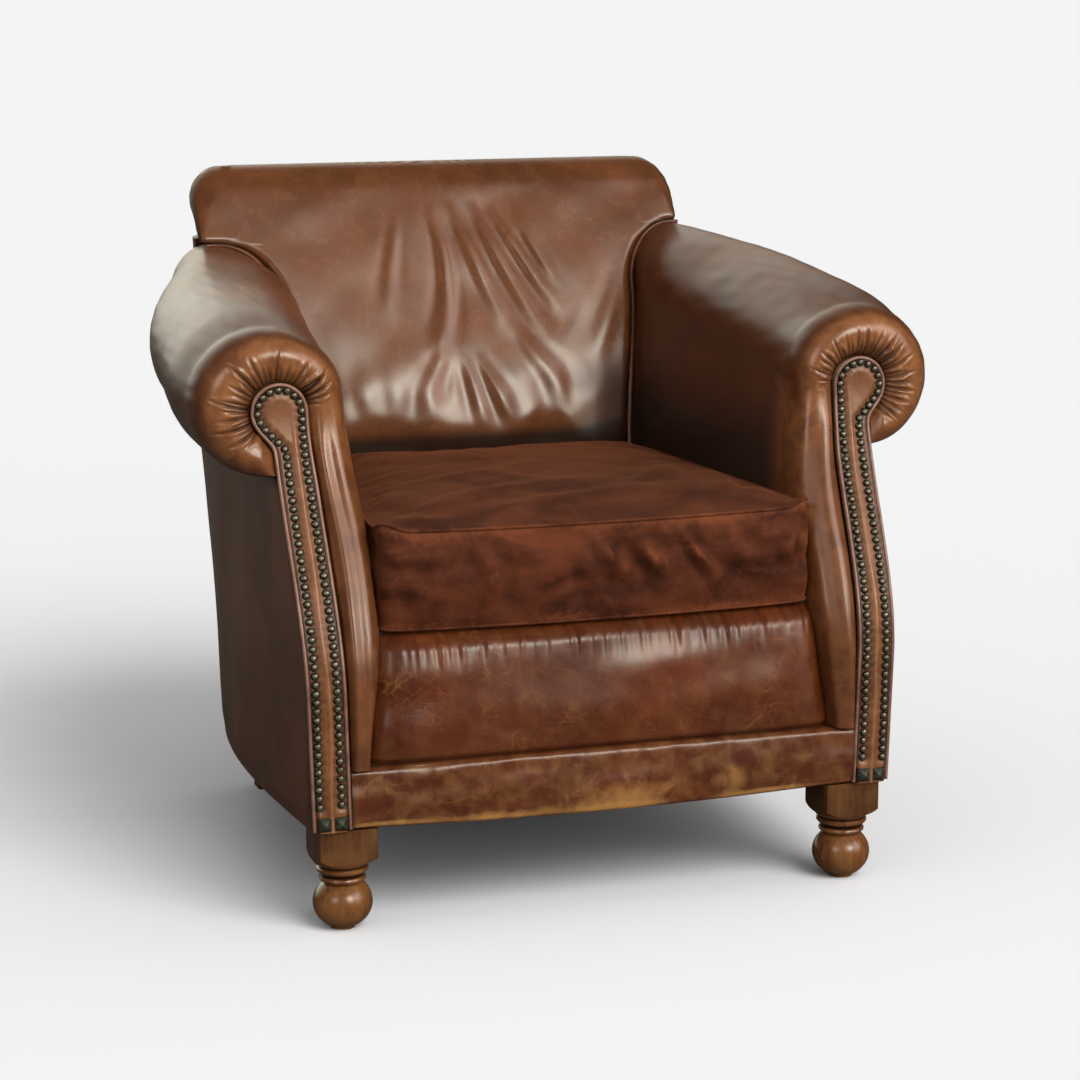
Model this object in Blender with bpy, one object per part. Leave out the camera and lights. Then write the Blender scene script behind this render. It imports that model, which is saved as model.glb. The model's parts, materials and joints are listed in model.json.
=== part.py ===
"""Worn leather club chair with scroll arms, nailed facings and turned front feet.

Metres, +Z up, the front of the chair faces -Y. The origin is on the floor, under the middle of
the chair's box. Each sub-part is worked out for the chair's own right-hand side (+X) at a depth
counted backwards from the facings' foot, and pairs are mirrored across X = 0.
"""
import math

import bmesh
import bpy

# --- driving dimensions ---------------------------------------------------------------------
FRONT_Y = -0.3635        # world Y of the plane that the facings' feet stand in
GAP = 0.0005             # clearance between neighbouring solids

BASE_Z = 0.120           # underside of the upholstered body
BAND_TOP = 0.188         # top of the low front band, foot of the arms
FRAME_FOOT_Z = 0.125     # underside of the front and lower back rails
RAIL_TOP = 0.300         # top of the seat frame
CUSHION_Z = 0.338        # underside of the loose cushion
CUSHION_EDGE_Z = 0.446   # top welt of the loose cushion
CUSHION_CROWN_Z = 0.468
CUSHION_FRONT = 0.034    # depth of its front face
BACK_TOP = 0.797

RAKE = 0.110             # how far the arm fronts lean back at the scroll
RAKE_FOOT_Z = 0.27
RAKE_HEAD_Z = 0.585

FACE_X = 0.320           # centre line of a facing's straight foot
FACE_HALF = 0.0212       # half width of that foot
FACE_LEAN = 0.031        # outward lean of the facing, metres per metre
FACE_THICK = 0.012
LOOP_X = 0.346           # centre of the facing's round head
LOOP_Z = 0.569
LOOP_R = 0.0315
NECK_Z = 0.512           # where the outer edge leaves the straight foot
# Heights at which the facing, its post and the arm front are all bent to the same rake
BENDS = (0.200, 0.270, 0.305, 0.340, 0.375, 0.410, 0.445, 0.475, 0.500, 0.520, 0.538, 0.554)
LOOP_POINTS = 20
LOOP_TURN = 225.0        # how far round the head goes before it runs into the outer foot
WELT_R = 0.0022
POST_THICK = 0.036

RIM_DEPTH = 0.040        # how deep the padded arm front rounds over
PLEATS = 18
PLEAT_POINTS = 4         # points round each pleat
PLEAT_DEPTH = 0.0032
# Scroll roll of the arm: depth, centre x, centre z, half width, half height
ROLL = (
    (0.150, 0.354, 0.577, 0.088, 0.082),
    (0.210, 0.356, 0.588, 0.091, 0.085),
    (0.300, 0.346, 0.601, 0.091, 0.085),
    (0.400, 0.332, 0.614, 0.091, 0.084),
    (0.500, 0.311, 0.630, 0.083, 0.079),
    (0.600, 0.298, 0.640, 0.058, 0.073),
    (0.650, 0.293, 0.642, 0.052, 0.071),
)
ARM_ROWS = (0.0, 0.12, 0.3, 0.5, 0.7, 0.9, 1.0)
ARM_INNER_X = 0.2545     # inner face of the arm at the front, at seat height
ARM_INNER_TAPER = 0.058  # how much further in it is at the back
ARM_END = 0.018          # the arm stops this far in front of the back post's middle
SEAT_LINE_Z = 0.43       # height at which the inner face starts to swell into the roll
CAVITY_DROP = 0.057      # top of the arm frame's room, below the roll's centre
CAVITY_WIDE = 0.058      # room for the frame between the inside arm and the outside arm
PADDING = 0.014          # least thickness of the inside arm
PAD_GROW = 0.0056        # the pleats stop this far outside the facing, clear of its welt
PAD_LIP = 0.0048         # depth of the pad's edge beside the facing
RECESS = 0.0105          # room behind the pad's rim for the facing and its post

SIDE_BOW = 0.046         # plan curve of the outside arm
SIDE_TAPER = 0.0855
SIDE_HALF = 0.3415
SIDE_LEAN = 0.030
SHELL = 0.008            # thickness of the outside panels

REAR_LOW = 0.655         # depth of the outside back at the body's underside
REAR_LEAN = 0.111        # and how fast it leans back with height
CORNER_R = 0.045
CORNER_DEEP = 0.055

POST_DEPTH = 0.600       # depth of the back posts at the body's underside
POST_LEAN = 0.132
POST_HALF = 0.015
POST_WIDE = 0.0165
POST_X = 0.2515
POST_TOP = 0.670
EAR_Z = 0.715            # underside of the back's ears, over the arm rolls
EAR_HALF = 0.316
EAR_R = 0.045            # rounding of the ears' upper corners
EAR_FOOT_R = 0.012       # and of their lower ones
LEDGE_Z = 0.7165         # where the back's cover turns over the top rail
CREST_DEPTH = 0.682      # depth of the highest line of the back
BACK_CLEAR = 0.0105      # room between the back padding and the arm for their welt
TUCK_Z = 0.70            # above this the arm's roll turns away from the back
BACK_WELT_R = 0.0030

BORDER_HALF_LOW = 0.272
BORDER_HALF_TOP = 0.2555
BORDER_TOP = 0.333
BORDER_CLEAR = 0.0030
BAND_CLEAR = 0.0058
BAND_SAG = 0.007
FRONT_RAIL_D = (0.045, 0.067)
REAR_RAIL_D = (0.545, 0.567)
SIDE_RAIL_WIDE = 0.022
BLOCK_LEG = 0.045        # legs of the triangular corner blocks
WEB_THICK = 0.0013
WEB_WIDE = 0.050
WEB_TACK = 0.0003        # webbing and cloth lie this close to what they are tacked to

NAIL_PITCH = 0.0099
NAIL_HIGH = 0.0034
NAIL_FOOT_Z = 0.146
NAIL_X = 0.3215          # middle between the two rows at their foot
NAIL_LEAN = 0.0225
NAIL_APART = (0.0125, 0.0107)    # half distance between the rows at the foot and higher up
NAIL_LOOP_R = 0.025
NAIL_TURN = 222.0
STUD = 0.0165

FOOT_X = 0.301
FOOT_D = 0.036
FOOT_BLOCK = 0.034       # half width of the square block
FOOT_TOP = 0.1195
FOOT_SIDES = 16

LEATHER = (0.30, 0.13, 0.06)
DARK_LEATHER = (0.12, 0.05, 0.03)
SUEDE = (0.14, 0.055, 0.03)
BRASS = (0.32, 0.28, 0.20)
BEECH = (0.55, 0.40, 0.24)
POLISHED = (0.25, 0.12, 0.05)
JUTE = (0.45, 0.36, 0.24)
BLACK_CLOTH = (0.03, 0.03, 0.03)


# --- small helpers --------------------------------------------------------------------------
def clear_scene():
    for item in list(bpy.data.objects):
        bpy.data.objects.remove(item, do_unlink=True)


def material(name, colour, roughness, metallic=0.0):
    mat = bpy.data.materials.new(name)
    mat.use_nodes = True
    shader = mat.node_tree.nodes["Principled BSDF"]
    shader.inputs["Base Color"].default_value = (*colour, 1.0)
    shader.inputs["Roughness"].default_value = roughness
    shader.inputs["Metallic"].default_value = metallic
    return mat


def smoothstep(t):
    t = min(1.0, max(0.0, t))
    return t * t * (3.0 - 2.0 * t)


def mix(a, b, t):
    return a + (b - a) * t


def between(rows, key):
    """Row values at the given key, eased from row to row by a cubic through the neighbours."""
    key = min(max(key, rows[0][0]), rows[-1][0])
    i = 0
    while i < len(rows) - 2 and key > rows[i + 1][0]:
        i += 1
    a, b = rows[i], rows[i + 1]
    before, after = rows[max(i - 1, 0)], rows[min(i + 2, len(rows) - 1)]
    span = b[0] - a[0]
    t = (key - a[0]) / span
    values = []
    for k in range(1, len(a)):
        slope_a = (b[k] - before[k]) / (b[0] - before[0]) * span
        slope_b = (after[k] - a[k]) / (after[0] - a[0]) * span
        t2, t3 = t * t, t * t * t
        values.append((2 * t3 - 3 * t2 + 1) * a[k] + (t3 - 2 * t2 + t) * slope_a
                      + (3 * t2 - 2 * t3) * b[k] + (t3 - t2) * slope_b)
    return values


def finish_object(name, verts, faces, mat, mirrored=False, sharp=40.0):
    """One closed mesh object from (x, depth, z) points."""
    side = -1.0 if mirrored else 1.0
    mesh = bpy.data.meshes.new(name)
    points = [(side * x, FRONT_Y + d, z) for x, d, z in verts]
    mesh.from_pydata(points, [], faces)
    work = bmesh.new()
    work.from_mesh(mesh)
    bmesh.ops.remove_doubles(work, verts=work.verts, dist=1e-6)
    bmesh.ops.recalc_face_normals(work, faces=work.faces)
    work.to_mesh(mesh)
    work.free()
    mesh.materials.append(mat)
    mesh.shade_smooth()
    mesh.set_sharp_from_angle(angle=math.radians(sharp))
    item = bpy.data.objects.new(name, mesh)
    bpy.context.collection.objects.link(item)
    return item


def pair(stem, build, mat, sharp=40.0):
    """The right-hand piece and its mirror image."""
    verts, faces = build()
    finish_object(stem + "_right", verts, faces, mat, False, sharp)
    finish_object(stem + "_left", verts, faces, mat, True, sharp)


def loft(loops):
    """Closed loops with equal counts, joined in order and closed with a flat face at each end."""
    verts, faces = [], []
    count = len(loops[0])
    for loop in loops:
        verts.extend(loop)
    for row in range(len(loops) - 1):
        for k in range(count):
            a = row * count + k
            b = row * count + (k + 1) % count
            faces.append((a, b, b + count, a + count))
    faces.append(tuple(range(count)))
    last = (len(loops) - 1) * count
    faces.append(tuple(last + k for k in range(count)))
    return verts, faces


def strip(faces, a, b):
    """Triangles between two open rows of vertex numbers whose counts may differ."""
    i = j = 0
    while i < len(a) - 1 or j < len(b) - 1:
        ahead_a = (i + 1) / (len(a) - 1) if i < len(a) - 1 else 2.0
        ahead_b = (j + 1) / (len(b) - 1) if j < len(b) - 1 else 2.0
        if ahead_a < ahead_b:
            faces.append((a[i], a[i + 1], b[j]))
            i += 1
        else:
            faces.append((a[i], b[j + 1], b[j]))
            j += 1


def quads(faces, a, b):
    for k in range(len(a) - 1):
        faces.append((a[k], a[k + 1], b[k + 1], b[k]))


def add_row(verts, points):
    start = len(verts)
    verts.extend(points)
    return list(range(start, start + len(points)))


def bar(start, end, wide, high):
    """A straight rail: start and end are (x, depth, z) at the middle of its ends, cut square to
    the depth direction for rails that run back and to X for rails that run across."""
    verts = []
    across = abs(end[0] - start[0]) > abs(end[1] - start[1])
    for x, d, z in (start, end):
        for sw, sh in ((-1, -1), (1, -1), (1, 1), (-1, 1)):
            if across:
                verts.append((x, d + sw * wide / 2, z + sh * high / 2))
            else:
                verts.append((x + sw * wide / 2, d, z + sh * high / 2))
    faces = [(0, 1, 2, 3), (4, 5, 6, 7), (0, 1, 5, 4), (1, 2, 6, 5), (2, 3, 7, 6), (3, 0, 4, 7)]
    return verts, faces


def block(x0, x1, d0, d1, z0, z1):
    return bar(((x0 + x1) / 2, d0, (z0 + z1) / 2), ((x0 + x1) / 2, d1, (z0 + z1) / 2),
               x1 - x0, z1 - z0)


def tube(path, radius, sides):
    """Round welt along an open path, with flat ends."""
    loops = []
    for k, (x, d, z) in enumerate(path):
        a = path[max(k - 1, 0)]
        b = path[min(k + 1, len(path) - 1)]
        along = [b[i] - a[i] for i in range(3)]
        size = math.sqrt(sum(v * v for v in along))
        along = [v / size for v in along]
        # u lies across the path in the X-Z plane, w completes the frame
        flat = math.hypot(along[0], along[2])
        u = (along[2] / flat, 0.0, -along[0] / flat)
        w = (along[1] * u[2] - along[2] * u[1],
             along[2] * u[0] - along[0] * u[2],
             along[0] * u[1] - along[1] * u[0])
        loop = []
        for s in range(sides):
            turn = 2 * math.pi * s / sides
            c, n = radius * math.cos(turn), radius * math.sin(turn)
            loop.append((x + c * u[0] + n * w[0], d + c * u[1] + n * w[1],
                         z + c * u[2] + n * w[2]))
        loops.append(loop)
    return loft(loops)


# --- curves that several pieces share ---------------------------------------------------------
def rake(z):
    """Depth of the facings' front at height z."""
    return RAKE * smoothstep((z - RAKE_FOOT_Z) / (RAKE_HEAD_Z - RAKE_FOOT_Z))


def post_depth(z):
    return POST_DEPTH + POST_LEAN * max(0.0, z - BASE_Z)


def arm_end(z):
    """Depth at which the arm stops, just in front of the back posts and their straps."""
    return post_depth(z) - ARM_END


def face_centre(z):
    return FACE_X + FACE_LEAN * (z - BASE_Z)


def key_outline(grow, z_low, loop_points=LOOP_POINTS, narrow=0.0):
    """Keyhole from its inner foot, up, round the head and down to its outer foot, as (x, z).
    The straight foot's outer side can be drawn in by `narrow`."""
    points = []
    for z in (z_low,) + BENDS:
        edge = face_centre(z) - FACE_HALF - grow
        head = LOOP_X - LOOP_R - grow
        points.append((mix(edge, head, smoothstep((z - NECK_Z + 0.03) / 0.08)), z))
    for k in range(loop_points):
        turn = math.pi - math.radians(LOOP_TURN) * k / (loop_points - 1)
        radius = LOOP_R + grow
        points.append((LOOP_X + radius * math.cos(turn), LOOP_Z + radius * math.sin(turn)))
    outer = [NECK_Z + grow * 0.3] + [z for z in reversed(BENDS) if z < NECK_Z] + [z_low]
    for z in outer:
        points.append((face_centre(z) + FACE_HALF + grow - narrow, z))
    return points


def arm_section(u):
    """Roll centre and half sizes at u, 0 at the front rim and 1 at the back."""
    return between(ROLL, mix(ROLL[0][0], ROLL[-1][0], u))


def border_half(z):
    return mix(BORDER_HALF_LOW, BORDER_HALF_TOP, (z - BAND_TOP) / (BORDER_TOP - BAND_TOP))


def arm_inner_x(u, z):
    """The arm's inner face: plumb beside the cushion, then swelling out into the roll."""
    cx, cz, rx, rz = arm_section(u)
    plumb = ARM_INNER_X - ARM_INNER_TAPER * u
    if z < BORDER_TOP:
        plumb += (border_half(z) - BORDER_HALF_TOP) * (1.0 - u) ** 3
    if z > cz:
        return cx - rx * math.sqrt(max(0.0, 1.0 - ((z - cz) / rz) ** 2))
    return mix(plumb, cx - rx, smoothstep((z - SEAT_LINE_Z) / (cz - SEAT_LINE_Z)))


def arm_depth(u, z):
    return mix(rake(z) + RIM_DEPTH, arm_end(z), u)


def arm_inner_at(d, z):
    front, back = rake(z) + RIM_DEPTH, arm_end(z)
    return arm_inner_x(min(1.0, max(0.0, (d - front) / (back - front))), z)


# --- upholstery -------------------------------------------------------------------------------
STEM_POINTS = len(BENDS) + 1
ROLL_POINTS = PLEATS * PLEAT_POINTS + 1


def arm_outer_row(u):
    """Skin of the arm at u, from the inner foot over the roll to its underside, as (x, z)."""
    cx, cz, rx, rz = arm_section(u)
    points = []
    low = BAND_TOP + GAP
    for bend in (low,) + BENDS:
        z = low + (bend - low) * (cz - low) / (LOOP_Z - low)
        points.append((arm_inner_x(u, z), z))
    for k in range(ROLL_POINTS):
        turn = math.pi - math.radians(271.0) * k / (ROLL_POINTS - 1)
        points.append((cx + rx * math.cos(turn), cz + rz * math.sin(turn)))
    return points


def arm_cavity_row(u):
    """Frame side of the arm at u, from the inner foot up, across and down to the underside."""
    cx, cz, rx, rz = arm_section(u)
    high = cz - CAVITY_DROP
    low = BAND_TOP + GAP
    out = cx + 0.0005
    tip = cz - rz + 0.012
    points = []
    for k in range(7):
        z = mix(low, high, k / 6)
        points.append((max(cx - CAVITY_WIDE, arm_inner_x(u, z) + PADDING), z))
    wall = points[-1][0]
    points += [(mix(wall, out, k / 6), high) for k in range(1, 7)]
    points.append((out, tip))
    return points


def arm_front_ring(share, drop, pleat):
    """Ring of the padded arm front between the rim (0) and the facing's edge (1)."""
    rim = arm_outer_row(0.0)
    key = key_outline(PAD_GROW, BAND_TOP + GAP, ROLL_POINTS)[:len(rim)]
    # the ring's last point closes on the facing's outer edge, under the roll
    key[-1] = (face_centre(NECK_Z) + FACE_HALF + PAD_GROW, NECK_Z - 0.004)
    points = []
    for k, (start, goal) in enumerate(zip(rim, key)):
        x = mix(start[0], goal[0], share)
        z = mix(start[1], goal[1], share)
        wave = 0.0
        tail = min(1.0, (len(rim) - 1 - k) / 5.0)
        behind = mix(max(drop, 0.0062), drop, tail)
        if k >= STEM_POINTS:
            phase = 2 * math.pi * (k - STEM_POINTS) / PLEAT_POINTS
            ends = min(k - STEM_POINTS, len(rim) - 1 - k) / 4.0
            wave = pleat * math.cos(phase) * min(1.0, ends)
        points.append((x, rake(z) + behind - wave, z))
    return points


def arm():
    """Padded arm: roll, inside arm, front column and the pleats gathered round the facing."""
    verts, faces = [], []
    skin = []
    for u in ARM_ROWS:
        skin.append(add_row(verts, [(x, arm_depth(u, z), z) for x, z in arm_outer_row(u)]))
    front = [
        add_row(verts, arm_front_ring(0.0, RIM_DEPTH * 0.55, PLEAT_DEPTH * 0.2)),
        add_row(verts, arm_front_ring(0.14, 0.0085, PLEAT_DEPTH * 0.7)),
        add_row(verts, arm_front_ring(0.45, -0.0040, PLEAT_DEPTH)),
        add_row(verts, arm_front_ring(0.80, -0.0010, PLEAT_DEPTH)),
        add_row(verts, arm_front_ring(1.0, PAD_LIP, 0.0)),
    ]
    rows = list(reversed(front)) + skin
    for a, b in zip(rows, rows[1:]):
        quads(faces, a, b)

    # recess that takes the facing and the head of the front post
    recess = RIM_DEPTH + RECESS
    clear = 0.0006
    outline = key_outline(clear, BAND_TOP + GAP)[:STEM_POINTS + LOOP_POINTS]
    outline[-1] = (face_centre(NECK_Z) + FACE_HALF + clear, NECK_Z - 0.004)
    lip = add_row(verts, [(x, rake(z) + PAD_LIP, z) for x, z in outline])
    floor = add_row(verts, [(x, rake(z) + recess, z) for x, z in outline])
    cavity = []
    for u in ARM_ROWS[1:]:
        cavity.append(add_row(verts, [(x, arm_depth(u, z), z) for x, z in arm_cavity_row(u)]))
    start = [(x, rake(z) + recess + 0.006, z) for x, z in arm_cavity_row(0.0)]
    start = add_row(verts, start)
    wall = 6
    strip(faces, rows[0][:STEM_POINTS + 1], lip[:STEM_POINTS + 1])
    strip(faces, rows[0][STEM_POINTS:], lip[STEM_POINTS:])
    quads(faces, lip, floor)
    # the frame's room opens from the recess up to the bend level with its top
    top = BENDS.index(round(ROLL[0][2] - CAVITY_DROP, 3)) + 1
    strip(faces, floor[:top + 1], start[:wall + 1])
    strip(faces, [floor[top]], start[wall:wall + 3])
    strip(faces, floor[top:], start[wall + 2:])
    quads(faces, start, cavity[0])
    for a, b in zip(cavity, cavity[1:]):
        quads(faces, a, b)
    strip(faces, skin[-1][:STEM_POINTS + 1], cavity[-1][:wall + 1])
    strip(faces, skin[-1][STEM_POINTS:], cavity[-1][wall:])

    # the foot on the band and the underside of the roll close the shape
    inside = [lip, floor, start] + cavity
    for end in (0, -1):
        strip(faces, [row[end] for row in rows], [row[end] for row in inside])
    return verts, faces


def side_x(t, z):
    return SIDE_HALF + SIDE_BOW * t - SIDE_TAPER * t ** 3 + SIDE_LEAN * (z - BASE_Z)


def rear_depth(z):
    return REAR_LOW + REAR_LEAN * (z - BASE_Z)


def corner_depth(z):
    return rear_depth(z) - CORNER_DEEP


def roll_underside(x, d):
    cx, cz, rx, rz = between(ROLL, d)
    off = min(0.95, abs(x - cx) / rx)
    return cz - rz * math.sqrt(1.0 - off * off)


def outside_arm():
    """Flat-sewn side panel from the underside of the body up to the roll."""
    loops = []
    for k in range(13):
        t = k / 12
        loop = []
        for z_share in (0.0, 0.3, 0.6, 0.85, 1.0):
            depth = mix(rake(0.49) + POST_THICK, corner_depth(0.49) - GAP, t)
            top = roll_underside(side_x(t, 0.5), depth) - 0.003
            z = mix(BASE_Z, top, z_share)
            d = mix(rake(z) + FACE_THICK + 2 * GAP, corner_depth(z) - GAP, t)
            loop.append((side_x(t, z), d, z))
        inner = [(x - SHELL, d, z) for x, d, z in reversed(loop)]
        loops.append(loop + inner)
    return loft(loops)


def outside_back():
    """Rear panel, wrapped forward round both corners."""
    loops = []
    for z in (BASE_Z, 0.22, 0.36, 0.50, 0.60, 0.67, LEDGE_Z - GAP):
        loop = []
        for skin, thick in ((1, 0.0), (-1, SHELL)):
            half = side_x(1.0, z) - thick
            radius = CORNER_R - thick
            rear = rear_depth(z) - thick
            line = [(half, corner_depth(z))]
            for k in range(5):
                turn = math.radians(90.0 * k / 4)
                line.append((half - radius + radius * math.cos(turn),
                             rear - radius + radius * math.sin(turn)))
            line += [(-x, d) for x, d in reversed(line)]
            loop += line[::skin]
        loops.append([(x, d, z) for x, d in loop])
    return loft(loops)


def back_half(z, d):
    """Half width of the inside back: it fits between the arms and spreads into ears on top."""
    if z < EAR_Z:
        tucked = arm_inner_at(d, min(z, TUCK_Z)) - BACK_CLEAR
        return min(tucked, EAR_HALF)
    if z < EAR_Z + EAR_FOOT_R:
        sink = 1.0 - (z - EAR_Z) / EAR_FOOT_R
        return EAR_HALF - EAR_FOOT_R * (1.0 - math.sqrt(1.0 - sink * sink))
    if z <= BACK_TOP - EAR_R:
        return EAR_HALF
    rise = (z - (BACK_TOP - EAR_R)) / EAR_R
    return EAR_HALF - EAR_R + EAR_R * math.sqrt(max(0.0, 1.0 - rise * rise))


# Front of the back padding at its middle: height, depth
BACK_FRONT = (
    (0.3045, 0.474),
    (0.455, 0.500),
    (0.560, 0.532),
    (0.660, 0.577),
    (0.745, 0.622),
    (0.785, 0.646),
    (0.7965, 0.668),
)
BACK_LEVELS = (0.3045, 0.33, 0.42, 0.50, 0.57, 0.62, 0.66, 0.69, EAR_Z - 0.0008, EAR_Z,
               LEDGE_Z - 0.0005, LEDGE_Z + 0.0005, 0.7205, 0.728, 0.752, 0.772, 0.787, 0.7965)
BACK_SIDES = 40          # points round each level


def back_rear(z):
    if z < LEDGE_Z:
        return post_depth(z) - POST_HALF - WEB_THICK - GAP
    rise = (z - LEDGE_Z) / (BACK_TOP - LEDGE_Z)
    reach = rear_depth(LEDGE_Z) - CREST_DEPTH
    return CREST_DEPTH + reach * math.sqrt(max(0.0, 1.0 - rise * rise))


def inside_back():
    """Padded back rest with its rolled top and rounded ears."""
    loops = []
    for z in BACK_LEVELS:
        front = between(BACK_FRONT, z)[0]
        rear = back_rear(z)
        half = back_half(z, mix(front, rear, 0.4))
        square = 0.24 if z < EAR_Z else 0.36
        loop = []
        for k in range(BACK_SIDES):
            turn = 2 * math.pi * (k + 0.5) / BACK_SIDES
            c, s = math.cos(turn), math.sin(turn)
            x = half * math.copysign(abs(c) ** square, c)
            deep = math.copysign(abs(s) ** square, s)
            middle, reach = (front + rear) / 2, (rear - front) / 2
            loop.append((x, middle + reach * deep, z))
        loops.append(loop)
    return loft(loops)


def back_piping():
    """Welt in the seam between the arm and the back."""
    path = []
    for k in range(24):
        z = mix(0.40, 0.700, k / 23)
        front = between(BACK_FRONT, z)[0]
        d = mix(front, back_rear(z), 0.30)
        path.append((arm_inner_at(d, z) - 0.0049, d, z))
    return tube(path, BACK_WELT_R, 6)


def seat_cushion():
    """Loose boxed cushion, wider in front, with a crowned top."""
    levels = ((CUSHION_Z, 0.985, 0.004), (CUSHION_Z + 0.008, 1.0, 0.0), (0.392, 1.0, -0.004),
              (CUSHION_EDGE_Z - 0.008, 1.0, 0.012), (CUSHION_EDGE_Z, 0.985, 0.016),
              (0.454, 0.88, 0.03), (0.463, 0.60, 0.10), (CUSHION_CROWN_Z, 0.25, 0.17))
    loops = []
    for z, share, inset in levels:
        loop = []
        for k in range(36):
            turn = 2 * math.pi * (k + 0.5) / 36
            power = 0.20
            c, s = math.cos(turn), math.sin(turn)
            across = math.copysign(abs(c) ** power, c)
            deep = math.copysign(abs(s) ** power, s)
            near = CUSHION_FRONT + inset
            far = between(BACK_FRONT, z)[0] - 0.0015 - max(inset, 0.0)
            d = mix(near, far, (deep + 1.0) / 2)
            half = (arm_inner_at(d, 0.40) - 0.0022) * share
            loop.append((across * half, d, z))
        loops.append(loop)
    return loft(loops)


def front_border():
    """Padded panel under the cushion, narrower and set back at its top."""
    loops = []
    for z, crown in ((BAND_TOP + GAP, 0.0), (0.196, 0.004), (0.25, 0.006), (0.31, 0.005),
                     (0.326, 0.001), (BORDER_TOP, -0.004)):
        lean = mix(0.010, 0.029, (z - BAND_TOP) / (BORDER_TOP - BAND_TOP))
        half = border_half(z) - BORDER_CLEAR
        near = lean - crown
        far = FRONT_RAIL_D[0] - GAP
        loop = [(-half, far, z), (half, far, z)]
        loop += [(half, near + 0.010, z), (half - 0.008, near + 0.002, z)]
        loop += [(half * 0.5, near, z), (-half * 0.5, near, z)]
        loop += [(-half + 0.008, near + 0.002, z), (-half, near + 0.010, z)]
        loops.append(loop)
    return loft(loops)


def front_band():
    """Low band between the facings, sagging a little at the middle."""
    loops = []
    for k in range(9):
        x = mix(-1.0, 1.0, k / 8)
        half = face_centre(0.15) - FACE_HALF - BAND_CLEAR
        low = BASE_Z - BAND_SAG * max(0.0, 1.0 - (x / 0.75) ** 2)
        loops.append([(x * half, FRONT_RAIL_D[0] - GAP, low), (x * half, 0.004, low),
                      (x * half, -0.001, low + 0.006), (x * half, -0.002, 0.15),
                      (x * half, 0.001, BAND_TOP - 0.006), (x * half, 0.006, BAND_TOP),
                      (x * half, FRONT_RAIL_D[0] - GAP, BAND_TOP)])
    return loft(loops)


# --- facings, welts and nails -------------------------------------------------------------------
def key_board(shrink, near, far, z_low, narrow=0.0):
    """Board cut to the keyhole outline, its front and back following the rake of the arm."""
    outline = key_outline(-shrink, z_low, narrow=narrow)
    verts, faces = [], []
    front = add_row(verts, [(x, rake(z) + near, z) for x, z in outline])
    back = add_row(verts, [(x, rake(z) + far, z) for x, z in outline])
    quads(faces, front + front[:1], back + back[:1])
    half = len(outline) // 2
    for row in (front, back):
        quads(faces, row[:half], list(reversed(row))[:half])
    return verts, faces


def facing_panel():
    return key_board(0.0, 0.0, FACE_THICK, BASE_Z)


def front_post():
    return key_board(0.0008, FACE_THICK + GAP, FACE_THICK + POST_THICK, BASE_Z + GAP,
                     SHELL + 0.0010)


def facing_piping():
    """Thin welt round the facing, from its inner foot to its outer foot."""
    outline = key_outline(WELT_R + 0.0005, BASE_Z + 0.002)
    return tube([(x, rake(z) + 0.0018, z) for x, z in outline], WELT_R, 5)


def nail_row(z, side):
    """X of the straight part of the row at height z, on the inner (-1) or outer (+1) side."""
    return NAIL_X + NAIL_LEAN * (z - BASE_Z) + side * mix(*NAIL_APART, (z - BASE_Z) / 0.4)


def nail_line():
    """Centre line of the close-nailed row, with a point every half pitch, as (x, z)."""
    fine = []
    for k in range(60):
        z = mix(NAIL_FOOT_Z, LOOP_Z, k / 60)
        head = LOOP_X - NAIL_LOOP_R
        fine.append((mix(nail_row(z, -1), head, smoothstep((z - 0.48) / 0.08)), z))
    for k in range(60):
        turn = math.pi - math.radians(NAIL_TURN) * k / 59
        fine.append((LOOP_X + NAIL_LOOP_R * math.cos(turn), LOOP_Z + NAIL_LOOP_R * math.sin(turn)))
    for k in range(60):
        z = mix(NECK_Z + 0.002, NAIL_FOOT_Z, k / 59)
        fine.append((nail_row(z, 1), z))
    # walk along the line over the raked face, one half pitch at a time
    points = [fine[0]]
    run = 0.0
    for a, b in zip(fine, fine[1:]):
        length = math.dist((a[0], rake(a[1]), a[1]), (b[0], rake(b[1]), b[1]))
        while run + length >= NAIL_PITCH / 2:
            share = (NAIL_PITCH / 2 - run) / length
            a = (mix(a[0], b[0], share), mix(a[1], b[1], share))
            length *= 1.0 - share
            run = 0.0
            points.append(a)
        run += length
    return points


def face_frame(a, b):
    """Along, across and outward directions on the raked face between two (x, z) points."""
    along = (b[0] - a[0], rake(b[1]) - rake(a[1]), b[1] - a[1])
    size = math.sqrt(sum(v * v for v in along))
    along = tuple(v / size for v in along)
    z = (a[1] + b[1]) / 2
    slope = (rake(z + 0.001) - rake(z - 0.001)) / 0.002
    size = math.hypot(1.0, slope)
    out = (0.0, -1.0 / size, slope / size)
    across = (along[1] * out[2] - along[2] * out[1],
              along[2] * out[0] - along[0] * out[2],
              along[0] * out[1] - along[1] * out[0])
    return along, across, out


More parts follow.
